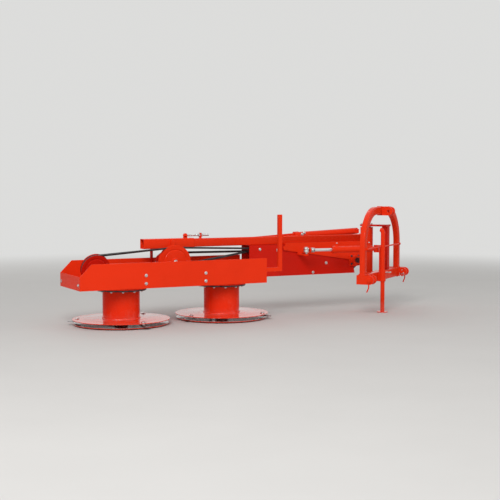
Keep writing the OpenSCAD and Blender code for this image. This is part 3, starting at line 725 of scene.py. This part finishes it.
class MOWER_OT_stage(bpy.types.Operator):
    """Floor, backdrop, lamps and camera"""
    bl_idname = "mower.stage"
    bl_label = "Stage"
    # Setting that holds the power, place and side in metres
    LAMPS = (("key", (-3.6, -4.6, 4.6), 3.0), ("fill", (4.8, -3.5, 2.6), 3.5), ("back", (0.5, 5.0, 4.5), 4.0))
    AIM = Vector((0.0, 0.0, 0.3))
    FLOOR_R, FADE_FROM, FADE_TO = 60, 2.6, 6.5
    # The photograph's view in the bar's frame: place in mm, bearing, pitch, focal length in pixels of 500
    EYE, BEARING, PITCH, FOCAL = (-2137, -5870, 833), (0.454, 0.891), math.radians(3.63), 1055

    def execute(self, context):
        scene = context.scene
        studio = scene.mower_studio
        scene.view_settings.view_transform = "Standard"
        self.floor(scene, studio)
        self.world(scene, studio)
        for name, place, side in self.LAMPS:
            light = bpy.data.lights.new(name, "AREA")
            light.size, light.energy = side, getattr(studio, name)
            lamp = bpy.data.objects.new(name, light)
            lamp.location = place
            lamp.rotation_euler = (self.AIM - Vector(place)).to_track_quat("-Z", "Y").to_euler()
            scene.collection.objects.link(lamp)
        self.camera(scene)
        return {"FINISHED"}

    def floor(self, scene, studio):
        """A pale floor that fades into the backdrop far out."""
        bm = bmesh.new()
        bmesh.ops.create_circle(bm, cap_ends=True, segments=96, radius=self.FLOOR_R)
        mesh = bpy.data.meshes.new("floor")
        bm.to_mesh(mesh)
        bm.free()
        floor = bpy.data.objects.new("floor", mesh)
        scene.collection.objects.link(floor)
        t = Finish("pale_floor")
        x, y, z = t.split(t.place)
        far = (x * x + y * y).fade(self.FADE_FROM ** 2, self.FADE_TO ** 2)
        ground = t.mix(t.noise(2.5, 6.0), rgba(studio.floor, 0.97), rgba(studio.floor, 1.03))
        near_shader = t.node("ShaderNodeBsdfPrincipled", Base_Color=ground, Roughness=0.9)
        far_shader = t.node("ShaderNodeEmission", Color=rgba(studio.backdrop), Strength=1.0)
        seen = t.node("ShaderNodeLightPath", out="Is Camera Ray")
        t.surface(t.node("ShaderNodeMixShader", None, far * seen, near_shader, far_shader))
        mesh.materials.append(t.material)

    def world(self, scene, studio):
        """Even light from all round; the camera and reflections see the backdrop's colour."""
        scene.world = bpy.data.worlds.new("studio")
        scene.world.use_nodes = True
        t = Nodes(scene.world.node_tree)
        t.tree.nodes.clear()
        camera, glossy, clear = (t.node("ShaderNodeLightPath", out=f"Is {kind} Ray")
                                 for kind in ("Camera", "Glossy", "Transmission"))
        seen = (camera + glossy + clear).clamp()
        light = t.node("ShaderNodeBackground", Color=(1, 1, 1, 1), Strength=studio.world)
        drop = t.node("ShaderNodeBackground", Color=rgba(studio.backdrop), Strength=1.0)
        out = t.tree.nodes.new("ShaderNodeOutputWorld")
        t.feed(out.inputs["Surface"], t.node("ShaderNodeMixShader", None, seen, light, drop))

    def camera(self, scene):
        lens = bpy.data.cameras.new("camera")
        lens.sensor_width = 36
        lens.lens = lens.sensor_width * self.FOCAL / 500
        camera = bpy.data.objects.new("camera", lens)
        camera.location = BAR @ Vector(self.EYE)
        level = math.cos(self.PITCH)
        look = Vector((self.BEARING[0] * level, self.BEARING[1] * level, -math.sin(self.PITCH)))
        camera.rotation_euler = look.to_track_quat("-Z", "Y").to_euler()
        scene.collection.objects.link(camera)
        scene.camera = camera


class MOWER_OT_tubes(bpy.types.Operator):
    """Square tubes of the beam, sleeve, cross tube and mast"""
    bl_idname = "mower.tubes"
    bl_label = "Tubes"
    CORNER = 5.0
    # The mast in the headstock's frame: radius of its bend, top, distance behind the pins, end of each half,
    # foot over the pins' height, and how far below its bend the leg's last point lies
    BEND, TOP, LEAD, END, FOOT, BELOW = 225.0, 655.0, 51.0, 29.0, 29, 40
    # Section of the mast in metres
    MAST = {"Back": 0.034, "Foot": 0.034, "Depth": 0.050, "Corner": 0.006}

    def execute(self, context):
        along = {"beam": Vector((1, 0, 0)), "beam_sleeve": Vector((1, 0, 0)),
                 "cross_tube": Vector((math.cos(HEAD_TURN), math.sin(HEAD_TURN), 0))}
        for node, direction in along.items():
            # The beam's rounded corners run into its round boss, where a second bevel has no room
            softened(node, 0.0 if node == "beam" else 0.6,
                     round_long_edges(merged(node), direction, self.CORNER))
        for side, name in ((-1, "mast_near"), (1, "mast_far")):
            self.mast(side, name)
        softened("curtain_post", 3.0)
        return {"FINISHED"}

    def mast(self, side, name):
        """One half of the arch: a leg that bends over to the middle."""
        path, outward = [], []
        for z in (HITCH_Z + self.FOOT, self.TOP - self.BEND - self.BELOW):
            path.append((side * HITCH_HALF, self.LEAD, z))
            outward.append((side, 0, 0))
        middle_x, middle_z = side * (HITCH_HALF - self.BEND), self.TOP - self.BEND
        for k in range(25):
            a = math.radians(90 * k / 24)
            out = (side * math.cos(a), 0, math.sin(a))
            path.append((middle_x + self.BEND * out[0], self.LEAD, middle_z + self.BEND * out[2]))
            outward.append(out)
        path.append((side * self.END, self.LEAD, self.TOP))
        outward.append((0, 0, 1))
        mesh = lines(name, [path], HEAD, outward=[outward])
        grown(f"{name}_shown", sweep_tree, mesh, "headstock", "red_paint", self.MAST, replaces=(name,))


class MOWER_OT_plates(bpy.types.Operator):
    """Sheet-metal plates, brackets and small carriers with their edges eased"""
    bl_idname = "mower.plates"
    bl_label = "Plates"
    # Bevel of each node's edges in mm
    EASED = {
        "side_plate_near": 0.8, "side_plate_far": 0.8, "end_plate": 0.8, "deck": 0.8, "cradle": 0.8,
        "belt_guard": 0.6, "gusset": 1.0, "stay_clamp": 1.0, "bearing_housing": 1.5,
        "clevis_near": 2.0, "clevis_far": 2.0, "top_bracket": 1.2, "swing_post": 2.5,
        "stand_sleeve": 1.0, "mast_rod": 0.3, "spindle_housings": 1.2,
    }
    # Where the guard's near sheet runs on past the drive pulley's opening: x and -z, then its two y
    GUARD_END = ((1556, -340), (1618, -340), (1622, -292), (1651, -292), (1662, -238), (1556, -238))
    GUARD_FACES = 51.3, 53.7
    # Bolt ring under a drum's housing: inner and outer radius, lugs, lower and upper z
    RING = 118.0, 149.0, 12, 204.0, 212.8

    def execute(self, context):
        for node, bevel in self.EASED.items():
            softened(node, bevel)
        softened("stay", 1.5, slivers=1.2)
        upright = BAR @ Matrix.Rotation(-math.pi / 2, 4, "X")
        # The guard's end sheet takes the red with painted shade in it
        show("belt_guard_end", prism(self.GUARD_END, *self.GUARD_FACES), "beam", "dark_red_paint", upright,
             bevel=0.5)
        for key, x in DRUMS.items():
            # The bolt rings take the near-black dark steel finish as painted shade for the deck's shadow,
            # where they show dark
            show(f"ring_{key}", scalloped_ring(*self.RING), "beam", "dark_steel", BAR @ at(x), bevel=0.6)
        return {"FINISHED"}


# Depth in mm of the dips in a bolt ring's edge
SCALLOP = 13.0


def scalloped_ring(inner, outer, count, low, high):
    """A flat ring whose outer edge dips between its bolt lugs."""
    bm = bmesh.new()
    steps = count * 12
    loops = []
    for z in (low, high):
        for inside in (False, True):
            loop = []
            for k in range(steps):
                a = 2 * math.pi * k / steps
                dip = SCALLOP * max(0.0, math.cos(count * a)) ** 2
                r = inner if inside else outer - dip
                loop.append(bm.verts.new((r * math.cos(a), r * math.sin(a), z)))
            loops.append(loop)
    low_out, low_in, high_out, high_in = loops
    for a, b in ((low_in, low_out), (low_out, high_out), (high_out, high_in), (high_in, low_in)):
        for k in range(steps):
            bm.faces.new((a[k], a[(k + 1) % steps], b[(k + 1) % steps], b[k]))
    bmesh.ops.recalc_face_normals(bm, faces=bm.faces)
    return bm


class MOWER_OT_pulleys(bpy.types.Operator):
    """Pressed guide pulleys, flat roller and drive pulley with their axles"""
    bl_idname = "mower.pulleys"
    bl_label = "Pulleys"
    # Joint, belt radius, rim radius, half width, half of the groove's mouth, slot
    # The outer and rear guides lean so that their faces look down; their darker red is painted shade
    GUIDES = {
        "guide_outer": ("guide_outer_spin", 78.0, 87.0, 13.0, 11.4, "dark_red_paint"),
        "guide_front": ("guide_front_spin", 85.0, 101.0, 14.5, 12.9, "red_paint"),
        "guide_rear": ("guide_rear_spin", 78.0, 87.0, 13.0, 11.4, "dark_red_paint"),
    }
    BORE = 10.0
    # Upper half of the flat roller's section
    ROLLER = ((8.1, 10), (12, 10), (12, 8.5), (20, 8.5), (20, 10), (26, 10))
    # Height in metres above which one of the axles' solids is a painted carrier
    CARRIER = 0.06

    def execute(self, context):
        for node, (joint, belt_r, rim, half, mouth, slot) in self.GUIDES.items():
            show(f"{node}_shown", lathe(self.guide(belt_r, rim, half, mouth), 128, 0.8), node, slot,
                 facing(joint), replaces=(node,))
        roller = lathe([*self.ROLLER, *((r, -z) for r, z in reversed(self.ROLLER))], 64, 1.0)
        show("guide_inner_shown", roller, "guide_inner", "dark_steel", facing("guide_inner_spin"),
             replaces=("guide_inner",))
        softened("drive_pulley", 0.8)
        softened("drive_shaft", 0.8)
        self.axles()
        return {"FINISHED"}

    def guide(self, belt_r, rim, half, mouth):
        """Section of a guide: raised hub, pressed ring in each web, rolled rims, V-groove."""
        root, foot, ring = belt_r - 7.5, 7.7, 0.74 * rim
        front = [(self.BORE, half + 4), (20, half + 4), (23, half - 1.0), (ring - 7, half - 1.4),
                 (ring - 4, half - 3.6), (ring, half - 3.6), (ring + 3, half - 1.2), (rim - 5, half - 0.6),
                 (rim - 1.5, half), (rim, half - 0.6)]
        groove = [(rim, mouth + 0.1), (root, foot)]
        near = front + groove
        return near + [(r, -z) for r, z in reversed(near)][:-3] + [(23, -half), (self.BORE, -half)]

    def axles(self):
        """Painted post and hanger, and bright axles, from the solids of one node."""
        bm = merged("guide_axles")
        cut = {"red_paint": bmesh.new(), "zinc": bmesh.new()}
        for island in islands(bm):
            points = [v.co for v in island]
            size = [max(p[i] for p in points) - min(p[i] for p in points) for i in range(3)]
            slot = "red_paint" if size[2] > self.CARRIER else "zinc"
            copy_island(bm, island, cut[slot])
        bm.free()
        show("guide_carriers", cut["red_paint"], "beam", "red_paint", bevel=0.8, replaces=("guide_axles",))
        show("guide_axles_shown", cut["zinc"], "beam", "zinc", bevel=0.6, replaces=("guide_axles",))


def islands(bm):
    """Groups of joined vertices."""
    left = set(bm.verts)
    while left:
        group, front = set(), {left.pop()}
        while front:
            vert = front.pop()
            group.add(vert)
            for edge in vert.link_edges:
                other = edge.other_vert(vert)
                if other in left:
                    left.discard(other)
                    front.add(other)
        yield group


def copy_island(source, group, target):
    new = {v: target.verts.new(v.co) for v in group}
    for face in source.faces:
        if face.verts[0] in group:
            target.faces.new([new[v] for v in face.verts])


def ring_at(centre, radius, second, degrees):
    """A belt's place on a pulley and its outward direction; second is across X in the pulley's plane."""
    a = math.radians(degrees)
    out = Vector((math.cos(a), 0, 0)) + second * math.sin(a)
    return centre + out * radius, out


def wrap(centre, radius, second, start, end, steps=20):
    """A belt's rings round part of a pulley, from start to end in degrees."""
    return [ring_at(centre, radius, second, start + (end - start) * i / steps) for i in range(steps + 1)]


def run(a, b):
    """Straight run between two rings, turned from one's outward side to the other's in its middle."""
    out = []
    for i in range(1, 24):
        t = i / 24
        u = max(0.0, min(1.0, (t - 0.2) / 0.6))
        turned = u * u * (3 - 2 * u)
        out.append((a[0].lerp(b[0], t), a[1].lerp(b[1], turned).normalized()))
    return out


class MOWER_OT_belts(bpy.types.Operator):
    """The two wrapped V-belts"""
    bl_idname = "mower.belts"
    bl_label = "Belts"
    # Radii on which the belts run, and half of the distance between the drive pulley's grooves
    DRIVE_R, GUIDE_R, FRONT_R, LEVEL_R, ROLLER_R = 65.0, 78.0, 85.0, 64.0, 26.0
    GROOVE = 11.0
    # Gap between the roller and the belt's back
    PLAY = 0.6

    def execute(self, context):
        up, rear = Vector((0, 0, 1)), Vector((0, 1, 0))
        drive = centre_of("drive_spin")
        outer, back = centre_of("guide_outer_spin"), centre_of("guide_rear_spin")
        roller = centre_of("guide_inner_spin")
        lean = [Vector((0, -JOINTS[j]["axis"][2], JOINTS[j]["axis"][1]))
                for j in ("guide_outer_spin", "guide_rear_spin")]
        reach = self.ROLLER_R + context.scene.mower_belts.depth / MM / 2 + self.PLAY
        over = [ring_at(roller, reach, up, a) for a in (101, 86, 72)]
        paths = {
            "belt_outer": [
                wrap(drive - rear * self.GROOVE, self.DRIVE_R, up, -108, 88),
                wrap(centre_of("guide_front_spin"), self.FRONT_R, up, 89, 99, 4),
                wrap(outer, self.GUIDE_R, lean[0], 100, 265),
                wrap(Vector((0, 0, LEVEL_Z)), self.LEVEL_R, rear, 110, 72, 8),
                [(place, -out) for place, out in over]],
            "belt_inner": [
                wrap(drive + rear * self.GROOVE, self.DRIVE_R, up, -91, 90),
                wrap(back, self.GUIDE_R, lean[1], 92, 265),
                wrap(Vector((DRUM_PITCH, 0, LEVEL_Z)), self.LEVEL_R, rear, 108, 76, 8)],
        }
        s = context.scene.mower_belts
        for name, wraps in paths.items():
            rings = []
            for i, part in enumerate(wraps):
                rings += part + run(part[-1], wraps[(i + 1) % len(wraps)][0])
            rings.append(rings[0])
            mesh = lines(name, [[p for p, out in rings]], BAR, outward=[[out for p, out in rings]])
            grown(f"{name}_shown", sweep_tree, mesh, "beam", "belt_rubber",
                  {"Back": s.back, "Foot": s.foot, "Depth": s.depth, "Corner": s.corner}, replaces=(name,))
        return {"FINISHED"}


class MOWER_OT_drums(bpy.types.Operator):
    """Drum shells, shafts and level pulleys"""
    bl_idname = "mower.drums"
    bl_label = "Drums"
    WALL, FLOOR, HUB_R, SHAFT_R = 6.0, 8, 17.6, 17.4
    WEB_LOW, WEB_HIGH = 98, 106
    SHAFT_LOW, SHAFT_OVER_BELT = 8, 20
    # Section of the level pulley: radius, and height over the belt's level
    PULLEY = ((HUB_R, 15), (30, 15), (32, 9), (56, 9), (58, 13), (70.5, 13), (70.5, 11), (56.5, 7.7),
              (56.5, -7.7), (70.5, -11), (70.5, -13), (HUB_R, -13))
    # Bearing of the shell's seam, in degrees round the drum
    SEAM = {"outer": -67.0, "inner": 202.0}

    def execute(self, context):
        inside = DRUM_R - self.WALL
        for key, x in DRUMS.items():
            node, place = f"drum_{key}", BAR @ at(x)
            floor = DISC_TOP + self.FLOOR
            shell = lathe([(inside, floor), (18, floor), (18, DISC_TOP), (DRUM_R, DISC_TOP),
                           (DRUM_R, DRUM_TOP), (inside, DRUM_TOP)], 128, 1.2)
            lathe([(self.HUB_R, self.WEB_LOW), (inside - 0.2, self.WEB_LOW), (inside - 0.2, self.WEB_HIGH),
                   (self.HUB_R, self.WEB_HIGH)], 64, 1.0, shell)
            show(f"{node}_shell", shell, node, "red_paint", place, replaces=(node,))
            low, top = self.SHAFT_LOW, LEVEL_Z + self.SHAFT_OVER_BELT
            shaft = lathe([(0, low), (self.SHAFT_R, low), (self.SHAFT_R, top), (0, top)], 48, 1.5)
            show(f"{node}_shaft", shaft, node, "zinc", place, replaces=(node,))
            pulley = lathe([(r, LEVEL_Z + z) for r, z in self.PULLEY], 96, 0.7)
            show(f"{node}_pulley", pulley, node, "dark_steel", place, replaces=(node,))
            a = math.radians(self.SEAM[key])
            foot = Vector((DRUM_R * math.cos(a), DRUM_R * math.sin(a), DISC_TOP))
            seam = [foot + Vector((0, 0, z)) for z in (3, 60, 120, DRUM_TOP - DISC_TOP - 2)]
            beads(f"{node}_seam", node, [seam], place, 0.62)
            foot_line = circle((0, 0, DISC_TOP + 1.5), DRUM_R + 0.8, steps=96)
            beads(f"{node}_foot_weld", node, [foot_line], place, 1.1)
        return {"FINISHED"}


class MOWER_OT_heads(bpy.types.Operator):
    """Cutting discs, knives and skid plates"""
    bl_idname = "mower.heads"
    bl_label = "Cutting heads"
    PIN_R, TIP_R, KNIFE_Z, KNIFE_T = 259.0, 320.0, 19.0, 4.0
    TURN = {"outer": 159.0, "inner": 200.0}
    KNIVES = 3
    # Sections in mm: the collar welded round the drum's foot, and a knife's bolt with its low domed cap
    COLLAR = ((DRUM_R + 1, 38), (DRUM_R + 1, 37.8), (150, 37.8), (150, 38), (148, 38.9), (DRUM_R + 2, 38.9))
    BOLT = ((0, 17), (15, 17), (15, 18.9), (9, 19), (9, 36), (15.5, 36), (15.5, 38.2), (12.5, 38.6),
            (10, 42.2), (5, 43.6), (0, 43.9))

    def execute(self, context):
        for key, x in DRUMS.items():
            place = BAR @ at(x)
            softened(f"disc_{key}", 1.2)
            # The skids' finish paints reflection and shade on their upward faces
            show(f"skid_{key}_shown", merged(f"skid_{key}"), f"skid_{key}", "red_paint", bevel=1.5,
                 replaces=(f"skid_{key}",), finish="scraped_paint")
            blades, caps = bmesh.new(), bmesh.new()
            for k in range(self.KNIVES):
                turn = Matrix.Rotation(math.radians(self.TURN[key] + k * 360 / self.KNIVES), 4, "Z")
                add_turned(blades, self.blade(), turn)
                add_turned(caps, lathe(self.BOLT, 36, 0.8), turn @ at(self.PIN_R))
            drum, node = f"drum_{key}", f"knives_{key}"
            show(f"{node}_blades", blades, drum, "knife_steel", place, bevel=0.25, replaces=(node,))
            show(f"{node}_bolts", caps, drum, "zinc", place, replaces=(node,))
            show(f"disc_{key}_collar", lathe(self.COLLAR, 96, 0.3), drum, "red_paint", place)
        return {"FINISHED"}

    def blade(self):
        """A knife along X, its leading edge ground from above."""
        pin, tip, z = self.PIN_R, self.TIP_R, self.KNIFE_Z
        outline = [(pin - 20, -13), (pin - 13, -17), (pin + 18, -20), (tip - 8, -20), (tip - 6, 8),
                   (pin + 18, 20), (pin - 13, 17), (pin - 20, 13)]
        bm = prism(outline, z, z + self.KNIFE_T)
        bmesh.ops.bisect_plane(bm, geom=bm.verts[:] + bm.edges[:] + bm.faces[:], dist=1e-4,
                               plane_co=(0, -12, 0), plane_no=(0, 1, 0))
        for vert in bm.verts:
            if vert.co.y < -16.9 and vert.co.z > z + 1 and vert.co.x > pin + 10:
                vert.co.z = z + 0.6
        return bm


def add_turned(target, source, matrix):
    """Moves source into target, turned by matrix."""
    source.transform(matrix)
    mesh = bpy.data.meshes.new("part")
    source.to_mesh(mesh)
    source.free()
    target.from_mesh(mesh)
    bpy.data.meshes.remove(mesh)


class MOWER_OT_cylinder(bpy.types.Operator):
    """Hydraulic cylinder with its gland, ports, rod and rod eye"""
    bl_idname = "mower.cylinder"
    bl_label = "Cylinder"
    BARREL, ROD_R, ROD_IN, EYE_R, EYE_Z = 285.0, 10.0, 145.0, 18.0, 405.0
    # Sections of radius and height: gland and port from the base, collar and eye from the rod's eye
    GLAND = ((12, 316), (19, 316), (21, 314), (21, 308), (12, 308))
    PORT = ((0, 7), (6, 7), (6, 11), (4.5, 12.5), (0, 12.5))
    COLLAR = ((9, -31), (13.5, -31), (15, -29), (15, -22), (13, -19), (9, -19))
    EYE = ((9.2, -14), (17, -14), (18, -12), (18, -4), (16.8, -3), (16.8, 3), (18, 4), (18, 12), (17, 14),
           (9.2, 14))
    PIN = ((0, -24), (9, -24), (9, 17), (12, 17), (12, 20), (0, 20))

    def execute(self, context):
        base = centre_of("cylinder_turn")
        along = Vector(JOINTS["rod_slide"]["axis"])
        place = BAR @ at(base.x, base.y, self.EYE_Z) @ Matrix.Rotation(math.atan2(along.y, along.x), 4, "Z")
        lying = place @ ALONG_X
        reach = self.reach(base)
        softened("cylinder_barrel", 1.2)
        show("barrel_gland", lathe(self.GLAND, 48, 0.8), "barrel", "red_paint", lying)
        for x, name in ((52, "base"), (self.BARREL - 4, "rod")):
            port = place @ at(x, 0, 31.5)
            show(f"port_{name}_nut", prism(hexagon(9.5), 0, 7), "barrel", "red_paint", port, bevel=0.8)
            show(f"port_{name}_stub", lathe(self.PORT, 32, 0.6), "barrel", "zinc", port)
        rod = ((0, self.ROD_IN), (self.ROD_R, self.ROD_IN), (self.ROD_R, reach - 58), (0, reach - 58))
        show("rod_bright", lathe(rod, 48, 0.6), "rod", "chrome_rod", lying, replaces=("cylinder_rod",))
        thread("rod_thread", "rod", lying @ at(0, 0, reach - 56), 14.5, 25, 4.2)
        collar = lathe([(r, reach + z) for r, z in self.COLLAR], 48, 0.8)
        show("rod_collar", collar, "rod", "red_paint", lying)
        end = place @ at(reach)
        show("rod_eye", lathe(self.EYE, 48, 0.8), "rod", "zinc", end, replaces=("cylinder_rod",))
        show("rod_pin", lathe(self.PIN, 40, 0.8), "rod", "zinc", end)
        return {"FINISHED"}

    def reach(self, base):
        """Distance from the base to the rod's eye, whose rim ends the solid."""
        low, high = (TO_BAR @ Vector(p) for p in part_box("cylinder_rod"))
        return math.hypot(base.x - low.x - self.EYE_R, high.y - self.EYE_R - base.y)


class MOWER_OT_adjuster(bpy.types.Operator):
    """Screw that sets the sleeve along the beam"""
    bl_idname = "mower.adjuster"
    bl_label = "Adjuster"
    # Middle of the screw, tops of the sleeve and of the beam under it
    Y, Z, SLEEVE_TOP, BEAM_TOP = 90.0, 512.0, 496.0, 491
    EYE_X, EYE = 452, ((0, -6), (12, -6), (13, -5), (13, 5), (12, 6), (0, 6))

    def execute(self, context):
        place = BAR @ at(self.EYE_X, self.Y, self.Z) @ Matrix.Rotation(math.pi / 2, 4, "X")
        show("adjuster_eye", lathe(self.EYE, 48, 0.8), "beam", "red_paint", place,
             replaces=("screw_adjuster",))
        self.block("adjuster_stem", (440, 464), 6, self.SLEEVE_TOP, self.Z - 4)
        self.block("adjuster_tab", (550, 558), 12, self.BEAM_TOP, self.Z + 14)
        thread("adjuster_screw", "beam", BAR @ at(464, self.Y, self.Z) @ ALONG_X, 6.0, 146, 2.2)
        for x, name in ((541, "inner"), (559, "outer")):
            nut = BAR @ at(x, self.Y, self.Z) @ ALONG_X
            show(f"adjuster_nut_{name}", prism(hexagon(10.5), 0, 8.5), "beam", "zinc", nut, bevel=0.8)
        return {"FINISHED"}

    def block(self, name, ends, half, low, high):
        """A red block over the screw's line, from one x to the other."""
        outline = [(ends[0], self.Y - half), (ends[1], self.Y - half), (ends[1], self.Y + half),
                   (ends[0], self.Y + half)]
        show(name, prism(outline, low, high), "beam", "red_paint", BAR, bevel=1.5)


class MOWER_OT_hitch(bpy.types.Operator):
    """Hitch pins, swing pin, stand and the small fittings on them"""
    bl_idname = "mower.hitch"
    bl_label = "Hitch fittings"
    # Section of a hitch pin, whose head is outside
    PIN = ((0, -45), (9.5, -45), (11, -43), (11, 32.5), (17, 32.5), (17, 40.5), (11, 40.5), (11, 43),
           (9.5, 45), (0, 45))
    # Distance outwards from the pin's middle to its drop handle, and inwards to its lynch pin
    HANDLE_X, HOLE_X = 36.5, 39
    # Clamp screw of the stand's sleeve: x, z, its two ends in y, and half of its cross handle
    SCREW = -100, HITCH_Z + 30, -14, -44, 18

    def execute(self, context):
        softened("kingpin", 1.5)
        softened("stand", 1.2)
        for side, name in ((-1, "near"), (1, "far")):
            across = HEAD @ at(side * HITCH_HALF, 0, HITCH_Z) @ Matrix.Rotation(side * math.pi / 2, 4, "Y")
            show(f"pin_{name}_shown", lathe(self.PIN, 48, 0.6), "headstock", "red_paint", across,
                 replaces=(f"pin_{name}",))
            x = side * (HITCH_HALF + self.HANDLE_X)
            drop = [(x, 3, HITCH_Z - 13), (x, 1, HITCH_Z - 46), (x, 14, HITCH_Z - 76)]
            rods(f"pin_{name}_handle", [drop], 4.0, 30.0, "red_paint", (f"pin_{name}",))
            x = side * (HITCH_HALF - self.HOLE_X)
            rods(f"lynch_ring_{name}", [circle((x, 0, HITCH_Z - 15), 15, "x", 24)], 1.7)
            rods(f"lynch_pin_{name}", [[(x, 0, HITCH_Z + 17), (x, 0, HITCH_Z - 17)]], 3.0)
        x, z, near, far, half = self.SCREW
        handle = [(x - half, far, z), (x + half, far, z)]
        rods("stand_screw", [[(x, near, z), (x, far, z)], handle], 4.0)
        return {"FINISHED"}


class MOWER_OT_fasteners(bpy.types.Operator):
    """Bolts, nuts and washers"""
    bl_idname = "mower.fasteners"
    bl_label = "Fasteners"
    # x and z of the bolts through the box's side plates
    BOX_X, BOX_Z = (86, 465), (300, 253)
    # x, z and size of the bolts through the belt guard's sheets, which lie at two y
    GUARD, GUARD_Y = ((951, 413, 0.95), (1440, 311, 1.0), (1341, 253, 1.0)), (51, 163)
    # Distance of each guide's nut from its middle
    NUTS = {"guide_outer_spin": 17.2, "guide_front_spin": 18.7, "guide_rear_spin": 17.2}
    # Bolt circles round each drum: z, radius, number, degrees of the first, way out, size
    CIRCLES = ((239, 53, 8, 22, (0, 0, 1), 0.85), (204, 134, 12, 15, (0, 0, -1), 0.9))
    # Middle of the bearing's flange on the gusset, and the radius of its bolt circle
    BEARING, BEARING_R = (1655, 37, 325), 37
    # Point and size of the stay's two bolts
    STAY = ((1300, 120.5, 499), 1.1), ((1316, 123, 508), 1.1)

    def execute(self, context):
        front, rear, out = (0, -1, 0), (0, 1, 0), (-1, 0, 0)
        spots = [((x, side * -BOX_NEAR, z), (0, side, 0), 1.0)
                 for side in (-1, 1) for x in self.BOX_X for z in self.BOX_Z]
        spots += [((-312, y, 257), out, 1.0) for y in (-163, 163)]
        spots += [((x, y, z), axis, size) for y, axis in zip(self.GUARD_Y, (front, rear))
                  for x, z, size in self.GUARD]
        spots += [((1083, 51, 405), front, 1.5)]
        for joint, half in self.NUTS.items():
            axis = -Vector(JOINTS[joint]["axis"])
            spots.append((centre_of(joint) + axis * half, axis, 1.35))
        bolts("beam_bolts", spots)
        rings = []
        for x in DRUMS.values():
            for z, radius, count, start, way, size in self.CIRCLES:
                rings += [(point, way, size) for point in spread((x, 0, z), radius, count, start)]
        bolts("housing_bolts", rings)
        # The bearing's bolts take the near-black dark steel finish as painted shade, so that they sink into
        # the shadow at the guard's end
        flange = [(point, front, 0.75) for point in spread(self.BEARING, self.BEARING_R, 4, 45, "y")]
        bolts("bearing_bolts", flange, "dark_steel")
        bolts("stay_bolts", [(point, front, size) for point, size in self.STAY])
        return {"FINISHED"}


class MOWER_OT_welds(bpy.types.Operator):
    """Weld beads where the tubes and plates meet"""
    bl_idname = "mower.welds"
    bl_label = "Welds"
    # Both ends of each straight bead on the beam: the gusset, the adjuster's stem and tab, and the stay
    STRAIGHT = (
        ((1132, 65, 441), (1736, 65, 441)), ((450, 96, 496), (464, 96, 496)),
        ((550, 78, 491), (550, 102, 491)), ((865, 115, 480), (925, 115, 480)),
        ((865, 115, 454), (925, 115, 454)), ((1705, 115, 522), (1735, 115, 522)),
    )
    # Edges of the two straps where they meet the sleeve's rear face
    STRAPS_X = 256, 268, 450, 462
    # From the pivot along the headstock: ends of the upper plate's beads, and of the lower plate's bead
    UPPER, LOWER = 23, 44

    def execute(self, context):
        beam = [circle((x, 0, 231.5), 62.5) for x in DRUMS.values()]
        beam += [list(ends) for ends in self.STRAIGHT]
        beam.append(frame_line((1742.0, 90.0, 466.0), 52, 52, "x"))
        beam.append([(845, BOX_NEAR + 28, 290), (845, BOX_NEAR + 4, 290)])
        beam.append([(960, BOX_NEAR + 12, 316), (960, BOX_NEAR + 25, 316)])
        beam += [[(x, 119, 442), (x, 119, 484)] for x in self.STRAPS_X]
        beads("beam_welds", "beam", beam)
        head = []
        for side in (-1, 1):
            head.append(frame_line((side * (HITCH_HALF - 32.5), 60, HITCH_Z), 60, 60, "x"))
            head.append(frame_line((side * HITCH_HALF, 51, HITCH_Z + 30), 50, 34, "z"))
            head.append(circle((side * (HITCH_HALF - 8), 28, 420), 6, "x", 16))
        head += [[(-28, 34, z), (-28, 68, z)] for z in (630, 680)]
        # The bracket's upper plate on its post, and its lower plate on the cross tube
        x = (HEAD.inverted() @ Vector(JOINTS["beam_swing"]["pos_m"])).x
        head += [[(x + end, 42, 545), (x + end, 82, 545)] for end in (-self.UPPER, self.UPPER)]
        head.append([(x - self.LOWER, 90.5, 214.5), (x + self.LOWER, 90.5, 214.5)])
        head.append(frame_line((-20, 42, 261), 22, 17, "z"))
        beads("headstock_welds", "headstock", head, HEAD)
        return {"FINISHED"}


class MOWER_PT_panel(bpy.types.Panel):
    """Sizes, colours and pieces of the mower"""
    bl_label = "Disc mower"
    bl_idname = "MOWER_PT_panel"
    bl_space_type = "VIEW_3D"
    bl_region_type = "UI"
    bl_category = "Mower"

    def draw(self, context):
        for key, group in GROUPS.items():
            box = self.layout.box()
            for name in group.__annotations__:
                box.prop(getattr(context.scene, key), name)
        for operator in OPERATORS:
            self.layout.operator(operator.bl_idname)


OPERATORS = (
    MOWER_OT_stage, MOWER_OT_tubes, MOWER_OT_plates, MOWER_OT_pulleys, MOWER_OT_belts, MOWER_OT_drums,
    MOWER_OT_heads, MOWER_OT_cylinder, MOWER_OT_adjuster, MOWER_OT_hitch, MOWER_OT_fasteners, MOWER_OT_welds,
)
CLASSES = (*GROUPS.values(), *OPERATORS, MOWER_PT_panel)


def register():
    for cls in CLASSES:
        bpy.utils.register_class(cls)
    for key, group in GROUPS.items():
        setattr(bpy.types.Scene, key, PointerProperty(type=group))


def unregister():
    for key in GROUPS:
        delattr(bpy.types.Scene, key)
    for cls in reversed(CLASSES):
        bpy.utils.unregister_class(cls)


def main():
    register()
    for operator in OPERATORS:
        group, action = operator.bl_idname.split(".")
        getattr(getattr(bpy.ops, group), action)()


if __name__ == "__main__":
    main()
